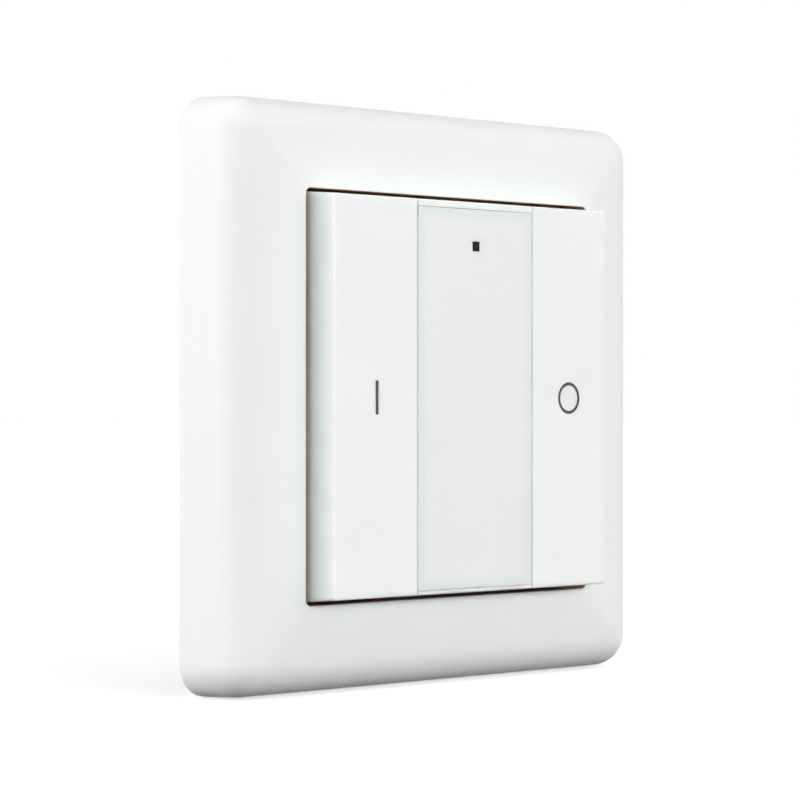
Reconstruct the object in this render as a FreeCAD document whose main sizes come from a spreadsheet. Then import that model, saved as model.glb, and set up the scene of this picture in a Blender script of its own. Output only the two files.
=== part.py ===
import FreeCAD, Part
import math
import os
import re

import Sketcher

# Wireless remote wall switch: a wall plate, a cover frame and a flat radio module with two keys.
# Millimetres and degrees. +X is right and +Z up as seen from the front; the wall is at Y = 0 and the
# front looks towards -Y. A depth is a distance from the wall, so a point at depth d has Y = -d.

SIZES = {
    # cover frame
    "frame_width": 80.0,
    "frame_depth": 11.6,
    "frame_draft": 2.6,
    "frame_edge_radius": 5.0,
    "frame_crown_radius": 54.0,
    "frame_corner_radius": 4.6,
    "frame_wall": 2.4,
    "frame_front_wall": 2.6,
    "opening_width": 55.6,
    "opening_corner_radius": 0.9,
    "opening_edge_bevel": 0.2,
    "crown_overlap": 1.0,
    "collar_wall": 2.0,
    "collar_rear": 5.0,
    # catches that hold the frame on the plate
    "catch_reach": 0.6,
    "catch_height": 0.8,
    "catch_length": 7.0,
    "catch_spread": 32.0,
    "catch_gap": 0.2,
    "catch_bite": 0.45,
    "snap_play": 0.05,
    "nose_height": 1.4,
    "nose_land": 0.3,
    "hook_thickness": 1.2,
    "hook_length": 6.0,
    # wall plate
    "plate_gap": 2.5,
    "plate_thickness": 1.6,
    "plate_corner_radius": 3.0,
    "screw_slot_inset": 5.1,
    "screw_slot_width": 4.2,
    "screw_slot_length": 7.0,
    # latches that hold the module on the plate
    "latch_inset": 2.5,
    "latch_thickness": 1.0,
    "latch_length": 6.0,
    "latch_reach": 0.6,
    "latch_height": 1.0,
    "latch_flex_room": 0.7,
    "latch_clearance": 0.2,
    # module tray
    "carrier_gap": 0.8,
    "carrier_overhang": 0.8,
    "base_wall": 1.2,
    "base_floor": 1.0,
    "base_corner_radius": 1.5,
    "post_inset": 3.8,
    "post_half": 2.8,
    "well_wall": 1.0,
    "well_height": 2.2,
    # screws of the module
    "screw_head_radius": 1.8,
    "screw_head_height": 1.2,
    "screw_shank_radius": 1.0,
    "screw_seat_depth": 1.6,
    "screw_clearance": 0.15,
    "screw_fit": 0.02,
    "screw_bite": 1.3,
    # board and what it carries
    "board_thickness": 1.0,
    "board_gap": 0.3,
    "component_room": 1.8,
    "shield_width": 12.0,
    "shield_height": 9.0,
    "shield_depth": 1.4,
    "shield_corner_radius": 0.5,
    "shield_rise": 5.0,
    "crystal_width": 5.0,
    "crystal_height": 3.2,
    "crystal_depth": 1.1,
    "crystal_gap": 1.0,
    "capacitor_width": 0.8,
    "capacitor_height": 1.6,
    "capacitor_depth": 0.8,
    "capacitor_pitch": 2.4,
    "capacitor_drop": 4.0,
    "led_width": 2.0,
    "led_height": 1.4,
    "led_base_depth": 0.4,
    "led_lens_depth": 0.4,
    "led_lens_margin": 0.3,
    "antenna_length": 28.0,
    "antenna_inset": 2.6,
    "antenna_stand": 0.9,
    "antenna_width": 0.8,
    "antenna_thickness": 0.3,
    # lithium cell and its contacts
    "cell_radius": 10.0,
    "cell_thickness": 3.2,
    "cell_cap_radius": 8.8,
    "cell_cap_height": 0.4,
    "cell_drop": 6.0,
    "cell_gap": 0.2,
    "cell_room": 1.2,
    "clip_thickness": 0.3,
    "clip_width": 5.0,
    "clip_gap": 0.3,
    "clip_foot": 1.5,
    "contact_thickness": 0.3,
    "contact_length": 12.0,
    "contact_width": 4.0,
    # module chassis
    "carrier_thickness": 1.0,
    "carrier_corner_radius": 1.0,
    "lip_gap": 0.2,
    "lip_thickness": 1.0,
    "lip_depth": 1.0,
    "boss_width": 4.6,
    "window_room": 0.4,
    # tactile switches
    "switch_width": 6.0,
    "switch_height": 3.2,
    "switch_cover_thickness": 0.3,
    "plunger_radius": 1.7,
    "plunger_stand": 1.2,
    "plunger_flange_half": 2.2,
    "plunger_flange_height": 0.6,
    "plunger_travel_room": 0.5,
    "running_clearance": 0.05,
    # keys
    "key_room": 1.1,
    "key_skirt": 5.5,
    "key_gap": 0.55,
    "key_draft": 4.5,
    "key_wall": 1.2,
    "key_face_thickness": 1.6,
    "key_corner_radius": 0.5,
    "key_edge_radius": 0.25,
    "seam_gap": 0.2,
    "weld": 0.2,
    "press_boss_radius": 1.5,
    "press_tip_radius": 0.4,
    "press_tip_height": 0.8,
    "press_gap": 0.06,
    "rib_thickness": 0.9,
    "rib_height": 1.6,
    "rib_spread": 14.0,
    # snap hinges of the keys
    "hinge_pin_radius": 0.95,
    "hinge_mouth": 1.6,
    "lug_width": 2.6,
    "lug_thickness": 3.0,
    "lug_inset": 7.9,
    "ear_width": 4.0,
    "ear_thickness": 2.2,
    "ear_gap": 0.2,
    "ear_rim": 0.7,
    "ear_clearance": 0.5,
    # stops that keep a released key in line
    "stop_thickness": 1.0,
    "stop_length": 4.0,
    "stop_reach": 0.6,
    "stop_height": 0.8,
    "stop_clearance": 0.7,
    "stop_swing_room": 0.45,
    "nose_clearance": 0.15,
    "stop_spread": 24.0,
    # label bar
    "bar_width": 22.54,
    "bar_floor": 0.6,
    "leg_width": 10.0,
    "leg_thickness": 1.2,
    "leg_spread": 28.0,
    "tongue_width": 5.0,
    "tongue_room": 0.3,
    # label
    "window_thickness": 1.2,
    "window_top_lip": 0.95,
    "window_bottom_lip": 0.5,
    "window_play": 0.05,
    "window_edge_radius": 0.15,
    "sheet_thickness": 0.2,
    "sheet_side_margin": 1.85,
    "sheet_end_margin": 1.4,
    # light guide
    "guide_width": 1.3,
    "guide_inset": 6.1,
    "guide_clearance": 0.05,
    "guide_led_gap": 0.2,
    "guide_collar_width": 2.4,
    "guide_collar_depth": 0.8,
}

# Depths, from the wall to the front
FLOOR_FRONT = "(plate_thickness + base_floor)"
CELL_REAR = "(plate_thickness + cell_gap + clip_thickness)"
CELL_FRONT = f"({CELL_REAR} + cell_thickness)"
BOARD_REAR = f"({CELL_FRONT} + contact_thickness)"
BOARD_FRONT = f"({BOARD_REAR} + board_thickness)"
CARRIER_REAR = f"({BOARD_FRONT} + component_room)"
CARRIER_FRONT = f"({CARRIER_REAR} + carrier_thickness)"
KEY_REAR = f"({CARRIER_FRONT} + key_room)"
KEY_FRONT = f"({KEY_REAR} + key_skirt)"
KEY_UNDERSIDE = f"({KEY_FRONT} - key_face_thickness)"
SWITCH_LID = f"({BOARD_FRONT} + switch_height - switch_cover_thickness)"
SWITCH_TOP = f"({BOARD_FRONT} + switch_height)"
PLUNGER_TOP = f"({SWITCH_TOP} + plunger_stand)"
BEARING_RADIUS = "(hinge_pin_radius + running_clearance)"
EAR_TOP = f"({KEY_UNDERSIDE} - ear_clearance)"
HINGE_DEPTH = f"({EAR_TOP} - ear_rim - {BEARING_RADIUS})"
WINDOW_REAR = f"({KEY_FRONT} - window_thickness)"
SHEET_REAR = f"({WINDOW_REAR} - sheet_thickness)"
BAR_REAR = f"({SHEET_REAR} - bar_floor)"
CATCH_FRONT = "(collar_rear + catch_height)"
NOSE_FRONT = f"({CARRIER_REAR} - snap_play)"
NOSE_REAR = f"({NOSE_FRONT} - stop_height)"

# Distances from the middle, across or up
COLLAR_OUTER = "(opening_width / 2 + collar_wall)"
HOOK_INNER = f"({COLLAR_OUTER} + catch_reach + catch_gap)"
PLATE_HALF = "(frame_width / 2 - frame_wall - plate_gap)"
CARRIER_HALF = "(opening_width / 2 - carrier_gap)"
BASE_HALF = f"({CARRIER_HALF} - carrier_overhang)"
BASE_INNER = f"({BASE_HALF} - base_wall)"
BOARD_HALF = f"({BASE_INNER} - board_gap)"
POST = f"({BASE_INNER} - post_inset)"
LATCH_MIDDLE = f"({BASE_INNER} - latch_inset)"
LIP_OUTER = f"({BASE_INNER} - lip_gap)"
LIP_INNER = f"({LIP_OUTER} - lip_thickness)"
STOP_MIDDLE = f"({LIP_INNER} - stop_clearance - stop_reach - stop_thickness / 2)"
KEY_FLARE = "tan(key_draft * 1deg)"
KEY_FACE_HALF = f"(opening_width / 2 - key_gap - ({KEY_FRONT} - frame_depth) * {KEY_FLARE})"
KEY_SKIRT_HALF = f"({KEY_FACE_HALF} + key_skirt * {KEY_FLARE})"
KEY_HOLLOW_HALF = f"({KEY_SKIRT_HALF} - key_wall)"
BAR_HALF = "(bar_width / 2)"
KEY_INNER_EDGE = f"({BAR_HALF} + seam_gap)"
KEY_MIDDLE = f"(({KEY_INNER_EDGE} + {KEY_FACE_HALF}) / 2)"
HINGE_MIDDLE = f"({KEY_INNER_EDGE} + ear_width / 2)"
LUG_MIDDLE = f"({KEY_FACE_HALF} - lug_inset)"
EAR_MIDDLE = f"({LUG_MIDDLE} + lug_thickness / 2 + ear_gap + ear_thickness / 2)"
GUIDE_HEIGHT = f"({KEY_FACE_HALF} - guide_inset)"
WINDOW_TOP = f"({KEY_FACE_HALF} - window_top_lip)"
WINDOW_BOTTOM = f"({KEY_FACE_HALF} - window_bottom_lip)"
SHEET_HALF = f"({BAR_HALF} - sheet_side_margin)"
SHEET_TOP = f"({WINDOW_TOP} - sheet_end_margin)"
SHEET_BOTTOM = f"({WINDOW_BOTTOM} - sheet_end_margin)"
GUIDE_HOLE_HALF = "(guide_width / 2 + guide_clearance)"
GUIDE_HOLE_UP = f"{GUIDE_HEIGHT} - {GUIDE_HOLE_HALF}", f"{GUIDE_HEIGHT} + {GUIDE_HOLE_HALF}"
SLOT_RUN = "((screw_slot_length - screw_slot_width) / 2)"

CAPACITOR_COUNT = 6
LEFT, RIGHT = -1, 1
SIDES = {"left": LEFT, "right": RIGHT}
LEVELS = {"lower": -1, "upper": 1}
BOTH = (LEFT, RIGHT)
SCREWED_CORNERS = [(LEFT, RIGHT), (RIGHT, LEFT)]
SAME_PLACE = 1e-3

doc = FreeCAD.newDocument("wall_switch")
sheet = doc.addObject("Spreadsheet::Sheet", "sizes")
for row, (alias, size) in enumerate(SIZES.items(), start=1):
    sheet.set(f"A{row}", alias)
    sheet.set(f"B{row}", str(size))
    sheet.setAlias(f"B{row}", alias)
doc.recompute()

nodes = {}


def bound(expression):
    """The expression with each size written as its cell in the sheet."""
    def cell(word):
        return f"sizes.{word[0]}" if word[0] in SIZES else word[0]

    return re.sub(r"[a-z_]{3,}", cell, expression)


def value(expression):
    """What the expression comes to with the sheet's sizes."""
    return float(sheet.evalExpression(bound(expression)))


def times(sign, expression):
    """The expression on the side that the sign gives."""
    return f"({sign} * {expression})"


def between(sign, near, far):
    """Two distances from the middle on the side that the sign gives, the lower one first."""
    return sorted((times(sign, near), times(sign, far)), key=value)


def span(middle, length):
    """A pair of expressions, half a length each side of the middle."""
    return f"{middle} - {length} / 2", f"{middle} + {length} / 2"


def spread(half):
    """A pair of expressions, the same distance each side of zero."""
    return f"-{half}", half


# Bodies, sketches and features

def settled(feature):
    """The feature once it is worked out; a failed one stops the build."""
    doc.recompute()
    if "Invalid" in feature.State or "Error" in feature.State:
        raise RuntimeError(f"{feature.Label} failed: {feature.State} {feature.getStatusString()}")
    return feature


def new_body(label):
    body = doc.addObject("PartDesign::Body", label)
    body.Label = label
    return body


def new_sketch(body, word, role="XZ_Plane", offset="0"):
    """A sketch on one of the body's own planes. On XZ_Plane the offset is a depth."""
    sketch = body.newObject("Sketcher::SketchObject", f"{body.Label}_{word}")
    plane = next(feature for feature in body.Origin.OriginFeatures if feature.Role == role)
    sketch.AttachmentSupport = (plane, [""])
    sketch.MapMode = "FlatFace"
    sketch.setExpression("AttachmentOffset.Base.z", bound(offset))
    return sketch


def dimension(sketch, kind, places, expression):
    index = sketch.addConstraint(Sketcher.Constraint(kind, *places, value(expression)))
    sketch.setExpression(f"Constraints[{index}]", bound(expression))


def pin_point(sketch, geometry, point, across, up):
    """Ties a point of the sketch to two expressions measured from its origin."""
    dimension(sketch, "DistanceX", (-1, 1, geometry, point), across)
    dimension(sketch, "DistanceY", (-1, 1, geometry, point), up)


def outline(sketch, corners):
    """A closed outline of straight lines, each corner a pair of expressions."""
    first = sketch.GeometryCount
    points = [FreeCAD.Vector(value(across), value(up), 0) for across, up in corners]
    following = points[1:] + points[:1]
    for start, end in zip(points, following):
        sketch.addGeometry(Part.LineSegment(start, end))
    count = len(points)
    for index in range(count):
        after = first + (index + 1) % count
        sketch.addConstraint(Sketcher.Constraint("Coincident", first + index, 2, after, 1))
    for index, (across, up) in enumerate(corners):
        pin_point(sketch, first + index, 1, across, up)


def rectangle(sketch, across, up):
    """A closed rectangle between two pairs of expressions."""
    outline(sketch, [(across[0], up[0]), (across[1], up[0]), (across[1], up[1]), (across[0], up[1])])


def square(sketch, half):
    rectangle(sketch, spread(half), spread(half))


def circle(sketch, across, up, radius):
    centre = FreeCAD.Vector(value(across), value(up), 0)
    index = sketch.addGeometry(Part.Circle(centre, FreeCAD.Vector(0, 0, 1), value(radius)))
    dimension(sketch, "Radius", (index,), radius)
    pin_point(sketch, index, 3, across, up)


def obround(sketch, ends, radius):
    """A slot between two end centres, each a pair of expressions, with round ends."""
    first, second = (FreeCAD.Vector(value(across), value(up), 0) for across, up in ends)
    run = math.atan2(second.y - first.y, second.x - first.x)
    width = value(radius)
    side = FreeCAD.Vector(-math.sin(run), math.cos(run), 0) * width
    upright = FreeCAD.Vector(0, 0, 1)
    half_turn = math.pi / 2
    near = Part.ArcOfCircle(Part.Circle(first, upright, width), run + half_turn, run + 3 * half_turn)
    far = Part.ArcOfCircle(Part.Circle(second, upright, width), run - half_turn, run + half_turn)
    index = sketch.GeometryCount
    sketch.addGeometry(near)
    sketch.addGeometry(Part.LineSegment(first - side, second - side))
    sketch.addGeometry(far)
    sketch.addGeometry(Part.LineSegment(second + side, first + side))
    for one, one_end, other, other_end in ((0, 2, 1, 1), (1, 2, 2, 1), (2, 2, 3, 1), (3, 2, 0, 1)):
        sketch.addConstraint(
            Sketcher.Constraint("Tangent", index + one, one_end, index + other, other_end)
        )
    sketch.addConstraint(Sketcher.Constraint("Equal", index, index + 2))
    dimension(sketch, "Radius", (index,), radius)
    for arc, (across, up) in zip((index, index + 2), ends):
        pin_point(sketch, arc, 3, across, up)


def pad(body, sketch, length, rearward=False, both_ways=False):
    """Adds the sketch's area, towards the front unless it is told otherwise."""
    feature = body.newObject("PartDesign::Pad", f"{sketch.Name}_pad")
    feature.Profile = sketch
    feature.setExpression("Length", bound(length))
    feature.Reversed = rearward
    feature.Midplane = both_ways
    return settled(feature)


def pocket(body, sketch, length=None, forward=False):
    """Cuts the sketch's area away, towards the wall or forward, or right through without a length."""
    before = body.Shape.Volume
    feature = body.newObject("PartDesign::Pocket", f"{sketch.Name}_pocket")
    feature.Profile = sketch
    feature.Reversed = forward
    if length:
        feature.setExpression("Length", bound(length))
    else:
        feature.Type = "ThroughAll"
        feature.Midplane = True
    settled(feature)
    if body.Shape.Volume >= before:
        raise RuntimeError(f"{feature.Label} cuts nothing")
    return feature


def dress_edges(body, kind, size_name, word, size, chosen):
    base = body.Tip
    names = [f"Edge{number}" for number, edge in enumerate(base.Shape.Edges, start=1) if chosen(edge)]
    feature = body.newObject(f"PartDesign::{kind}", f"{body.Label}_{word}")
    feature.Base = (base, names)
    feature.setExpression(size_name, bound(size))
    return settled(feature)


def round_edges(body, word, radius, chosen):
    """Rounds the edges of the body that pass the test."""
    return dress_edges(body, "Fillet", "Radius", word, radius, chosen)


def bevel_edges(body, word, leg, chosen):
    """Bevels the edges of the body that pass the test."""
    return dress_edges(body, "Chamfer", "Size", word, leg, chosen)


def revolve(body, sketch):
    """Turns the sketch once about its upright axis."""
    feature = body.newObject("PartDesign::Revolution", f"{sketch.Name}_turn")
    feature.Profile = sketch
    feature.ReferenceAxis = (sketch, ["V_Axis"])
    feature.Angle = 360
    return settled(feature)


def section_across(body, word, corners, height, width):
    """Adds a profile of (across, depth) corners, with its width up and down about a height."""
    sketch = new_sketch(body, word, "XY_Plane", height)
    outline(sketch, [(across, f"-{depth}") for across, depth in corners])
    return pad(body, sketch, width, both_ways=True)


def section_upright(body, word, corners, width):
    """Adds a profile of (up, depth) corners, with its width across the middle."""
    sketch = new_sketch(body, word, "YZ_Plane")
    outline(sketch, [(f"-{depth}", up) for up, depth in corners])
    return pad(body, sketch, width, both_ways=True)


def points_along(edge):
    first, last = edge.ParameterRange
    return [edge.valueAt(first + share * (last - first)) for share in (0, 0.5, 1)]


def on_diagonal(edge):
    """Does the edge lie where two sides of a square meet?"""
    return all(abs(abs(point.x) - abs(point.z)) < SAME_PLACE for point in points_along(edge))


def at_depth(edge, depth):
    return all(abs(point.y + value(depth)) < SAME_PLACE for point in points_along(edge))


def reach(edge):
    """How far the edge's middle lies from the object's middle, across or up."""
    middle = points_along(edge)[1]
    return max(abs(middle.x), abs(middle.z))


# Part primitives and booleans

def block(name, across, depth, up):
    """A box between three pairs of expressions."""
    box = doc.addObject("Part::Box", name)
    box.setExpression("Length", bound(f"({across[1]}) - ({across[0]})"))
    box.setExpression("Width", bound(f"({depth[1]}) - ({depth[0]})"))
    box.setExpression("Height", bound(f"({up[1]}) - ({up[0]})"))
    box.setExpression("Placement.Base.x", bound(across[0]))
    box.setExpression("Placement.Base.y", bound(f"-({depth[1]})"))
    box.setExpression("Placement.Base.z", bound(up[0]))
    return box


def place_round(solid, across, depth, up):
    solid.setExpression("Placement.Base.x", bound(across))
    solid.setExpression("Placement.Base.y", bound(f"-{depth}"))
    solid.setExpression("Placement.Base.z", bound(up))


def rod(name, radius, across, depth, up):
    """A cylinder that runs forward from the first depth to the second."""
    cylinder = doc.addObject("Part::Cylinder", name)
    cylinder.Placement.Rotation = FreeCAD.Rotation(FreeCAD.Vector(1, 0, 0), 90)
    cylinder.setExpression("Radius", bound(radius))
    cylinder.setExpression("Height", bound(f"{depth[1]} - {depth[0]}"))
    place_round(cylinder, across, depth[0], up)
    return cylinder


def upright_rod(name, radius, across, depth, up):
    """A cylinder that runs up from the first height to the second."""
    cylinder = doc.addObject("Part::Cylinder", name)
    cylinder.setExpression("Radius", bound(radius))
    cylinder.setExpression("Height", bound(f"({up[1]}) - ({up[0]})"))
    place_round(cylinder, across, depth, up[0])
    return cylinder


def taper(name, radii, across, depth, up):
    """A cone that runs forward, with the first radius at the first depth."""
    cone = doc.addObject("Part::Cone", name)
    cone.Placement.Rotation = FreeCAD.Rotation(FreeCAD.Vector(1, 0, 0), 90)
    cone.setExpression("Radius1", bound(radii[0]))
    cone.setExpression("Radius2", bound(radii[1]))
    cone.setExpression("Height", bound(f"{depth[1]} - {depth[0]}"))
    place_round(cone, across, depth[0], up)
    return cone


def fused(name, solids):
    fusion = doc.addObject("Part::MultiFuse", name)
    fusion.Shapes = solids
    fusion.Refine = True
    return fusion


def shared(name, first, second):
    common = doc.addObject("Part::Common", name)
    common.Base = first
    common.Tool = second
    return common


def cut(name, base, tools):
    difference = doc.addObject("Part::Cut", name)
    difference.Base = base
    difference.Tool = tools[0] if len(tools) == 1 else fused(f"{name}_tools", tools)
    difference.Refine = True
    return difference


def group(name, solids):
    compound = doc.addObject("Part::Compound", name)
    compound.Links = solids
    return compound


def keep(label, solid):
    """Names a finished sub-part."""
    solid.Label = label
    nodes[label] = solid


# Cover frame

def frame_profile(body):
    """The frame's section as a full block: drafted sides, round edges and a crowned front."""
    half, depth = value("frame_width / 2"), value("frame_depth")
    draft = math.radians(value("frame_draft"))
    edge, crown = value("frame_edge_radius"), value("frame_crown_radius")
    crown_start = value("opening_width / 2 - crown_overlap")
    turn = FreeCAD.Vector(0, 0, 1)

    # rough places of the two arcs, which the tangents below settle
    edge_centre = FreeCAD.Vector(half - edge, edge - depth, 0)
    crown_centre = FreeCAD.Vector(crown_start, crown - depth, 0)
    lean = math.atan2(edge_centre.y - crown_centre.y, edge_centre.x - crown_centre.x)

    def mirrored(point):
        return FreeCAD.Vector(-point.x, point.y, 0)

    side_top = edge_centre + FreeCAD.Vector(edge * math.cos(draft), -edge * math.sin(draft), 0)
    front_end = FreeCAD.Vector(crown_start, -depth, 0)
    rear_end = FreeCAD.Vector(half, 0, 0)
    sketch = new_sketch(body, "profile", "XY_Plane")
    base, side, round_edge, crowned, front, far_crowned, far_edge, far_side = range(8)
    for curve in (
        Part.LineSegment(mirrored(rear_end), rear_end),
        Part.LineSegment(rear_end, side_top),
        Part.ArcOfCircle(Part.Circle(edge_centre, turn, edge), lean, -draft),
        Part.ArcOfCircle(Part.Circle(crown_centre, turn, crown), -math.pi / 2, lean),
        Part.LineSegment(front_end, mirrored(front_end)),
        Part.ArcOfCircle(Part.Circle(mirrored(crown_centre), turn, crown), -math.pi - lean, -math.pi / 2),
        Part.ArcOfCircle(Part.Circle(mirrored(edge_centre), turn, edge), math.pi + draft, math.pi - lean),
        Part.LineSegment(mirrored(side_top), mirrored(rear_end)),
    ):
        sketch.addGeometry(curve)
    upright_axis, level_axis = -2, -1
    for kind, *places in (
        ("Coincident", base, 2, side, 1),
        ("Tangent", side, 2, round_edge, 2),
        ("Tangent", round_edge, 1, crowned, 2),
        ("Tangent", crowned, 1, front, 1),
        ("Coincident", front, 2, far_crowned, 2),
        ("Coincident", far_crowned, 1, far_edge, 2),
        ("Coincident", far_edge, 1, far_side, 1),
        ("Coincident", far_side, 2, base, 1),
        ("Symmetric", base, 1, base, 2, upright_axis),
        ("PointOnObject", base, 1, level_axis),
        ("Symmetric", front, 1, front, 2, upright_axis),
        ("Symmetric", round_edge, 2, far_edge, 1, upright_axis),
        ("Symmetric", round_edge, 1, far_edge, 2, upright_axis),
        ("Equal", round_edge, far_edge),
        ("Equal", crowned, far_crowned),
    ):
        sketch.addConstraint(Sketcher.Constraint(kind, *places))
    dimension(sketch, "DistanceX", (base, 1, base, 2), "frame_width")
    dimension(sketch, "DistanceX", (front, 2, front, 1), "opening_width - 2 * crown_overlap")
    dimension(sketch, "DistanceY", (front, 1, base, 2), "frame_depth")
    dimension(sketch, "Radius", (round_edge,), "frame_edge_radius")
    dimension(sketch, "Radius", (crowned,), "frame_crown_radius")
    lean_in = sketch.addConstraint(Sketcher.Constraint("Angle", upright_axis, 2, side, 1, -draft))
    sketch.setExpression(f"Constraints[{lean_in}]", bound("-frame_draft * 1deg"))
    return pad(body, sketch, "frame_width * 1.5", both_ways=True)


def frame_cavity():
    """The room behind the frame's face: a ring around the collar, bevelled where the outside is round."""
    body = new_body("frame_cavity")
    ring = new_sketch(body, "ring")
    square(ring, "(frame_width / 2 - frame_wall)")
    square(ring, COLLAR_OUTER)
    front = "(frame_depth - frame_front_wall)"
    pad(body, ring, front)
    outer_half = value("frame_width / 2 - frame_wall")

    def outer_edge(edge):
        along_wall = abs(reach(edge) - outer_half) < SAME_PLACE
        return along_wall and (on_diagonal(edge) or at_depth(edge, front))

    bevel_edges(body, "edges", "frame_edge_radius - frame_wall", outer_edge)
    return body


def cover_frame():
    body = new_body("cover_frame")
    frame_profile(body)
    crossing = new_body("frame_crossing")
    frame_profile(crossing)
    crossing.Placement.Rotation = FreeCAD.Rotation(FreeCAD.Vector(0, 1, 0), 90)
    both = body.newObject("PartDesign::Boolean", "frame_block")
    both.Type = "Common"
    both.setObjects([crossing])
    settled(both)
    round_edges(body, "corners", "frame_corner_radius", lambda edge: on_diagonal(edge) and reach(edge) > 1)

    hollow = body.newObject("PartDesign::Boolean", "frame_hollow")
    hollow.Type = "Cut"
    hollow.setObjects([frame_cavity()])
    settled(hollow)

    opening = new_sketch(body, "opening")
    square(opening, "(opening_width / 2)")
    pocket(body, opening)
    opening_half = value("opening_width / 2")

    def opening_corner(edge):
        return on_diagonal(edge) and abs(reach(edge) - opening_half) < SAME_PLACE

    round_edges(body, "opening_corners", "opening_corner_radius", opening_corner)

    shortened = new_sketch(body, "collar_rear")
    square(shortened, COLLAR_OUTER)
    pocket(body, shortened, "collar_rear", forward=True)

    for sign in BOTH:
        for height_sign in BOTH:
            ledge = new_sketch(body, "ledge", offset="collar_rear")
            across = between(sign, COLLAR_OUTER, f"({COLLAR_OUTER} + catch_reach)")
            rectangle(ledge, across, span(times(height_sign, "catch_spread / 2"), "catch_length"))
            pad(body, ledge, "catch_height")

    front_half = value("opening_width / 2 + opening_corner_radius")

    def opening_rim(edge):
        forward = all(point.y < -value("frame_depth - opening_edge_bevel") for point in points_along(edge))
        return forward and reach(edge) < front_half and not on_diagonal(edge)

    bevel_edges(body, "opening_rim", "opening_edge_bevel", opening_rim)
    keep("cover_frame", body)


# Wall plate

def mounting_plate():
    body = new_body("mounting_plate")
    sheet_outline = new_sketch(body, "outline")
    square(sheet_outline, PLATE_HALF)
    pad(body, sheet_outline, "plate_thickness")
    round_edges(body, "corners", "plate_corner_radius", on_diagonal)

    slots = new_sketch(body, "screw_slots")
    for sign in BOTH:
        place = times(sign, f"({PLATE_HALF} - screw_slot_inset)")
        near, far = f"{place} - {SLOT_RUN}", f"{place} + {SLOT_RUN}"
        obround(slots, [(near, "0"), (far, "0")], "screw_slot_width / 2")
        obround(slots, [("0", near), ("0", far)], "screw_slot_width / 2")
    pocket(body, slots)

    root = "plate_thickness / 2"
    hold = f"({CATCH_FRONT} + snap_play)"
    for side, sign in SIDES.items():
        inner, outer = times(sign, HOOK_INNER), times(sign, f"({HOOK_INNER} + hook_thickness)")
        nose = times(sign, f"({HOOK_INNER} - catch_gap - catch_bite)")
        tip = f"({hold} + nose_height)"
        profile = [
            (inner, root), (outer, root), (outer, tip), (inner, tip),
            (nose, f"({hold} + nose_land)"), (nose, hold), (inner, hold),
        ]
        for height_sign in BOTH:
            height = times(height_sign, "catch_spread / 2")
            section_across(body, f"{side}_hook", profile, height, "hook_length")

    grip = f"({FLOOR_FRONT} + snap_play)"
    for sign in BOTH:
        inner = times(sign, f"({LATCH_MIDDLE} - latch_thickness / 2)")
        outer = times(sign, f"({LATCH_MIDDLE} + latch_thickness / 2)")
        nose = times(sign, f"({LATCH_MIDDLE} + latch_thickness / 2 + latch_reach)")
        profile = [
            (inner, root), (outer, root), (outer, grip), (nose, grip), (nose, f"({grip} + nose_land)"),
            (outer, f"({grip} + latch_height)"), (inner, f"({grip} + latch_height)"),
        ]
        section_upright(body, "latch", profile, "latch_length")
    keep("mounting_plate", body)


# Radio module

def module_base():
    body = new_body("module_base")
    tray = new_sketch(body, "outline", offset="plate_thickness")
    square(tray, BASE_HALF)
    pad(body, tray, f"{CARRIER_REAR} - plate_thickness")
    round_edges(body, "corners", "base_corner_radius", on_diagonal)
    hollow = new_sketch(body, "hollow", offset=FLOOR_FRONT)
    square(hollow, BASE_INNER)
    pocket(body, hollow, f"{CARRIER_REAR} - {FLOOR_FRONT}", forward=True)

    well = new_sketch(body, "cell_well", offset="plate_thickness")
    circle(well, "0", "-cell_drop", "cell_radius + cell_room + well_wall")
    pad(body, well, "base_floor + well_height")
    posts = new_sketch(body, "posts", offset="plate_thickness")
    inner, outer = f"({POST} - post_half)", f"({BASE_INNER} + weld)"
    for x in BOTH:
        for z in BOTH:
            rectangle(posts, between(x, inner, outer), between(z, inner, outer))
    pad(body, posts, f"{BOARD_REAR} - plate_thickness")

    openings = new_sketch(body, "openings", offset="plate_thickness")
    circle(openings, "0", "-cell_drop", "cell_radius + cell_room")
    for sign in BOTH:
        inner = f"({LATCH_MIDDLE} - latch_thickness / 2 - latch_flex_room)"
        outer = f"({LATCH_MIDDLE} + latch_thickness / 2 + latch_clearance)"
        rectangle(openings, spread("(latch_length / 2 + latch_clearance)"), between(sign, inner, outer))
    for x, z in SCREWED_CORNERS:
        circle(openings, times(x, POST), times(z, POST), "screw_shank_radius + screw_clearance")
    pocket(body, openings)
    seats = new_sketch(body, "screw_seats", offset="plate_thickness")
    for x, z in SCREWED_CORNERS:
        circle(seats, times(x, POST), times(z, POST), "screw_head_radius + screw_clearance")
    pocket(body, seats, "screw_seat_depth", forward=True)
    keep("module_base", body)


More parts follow.
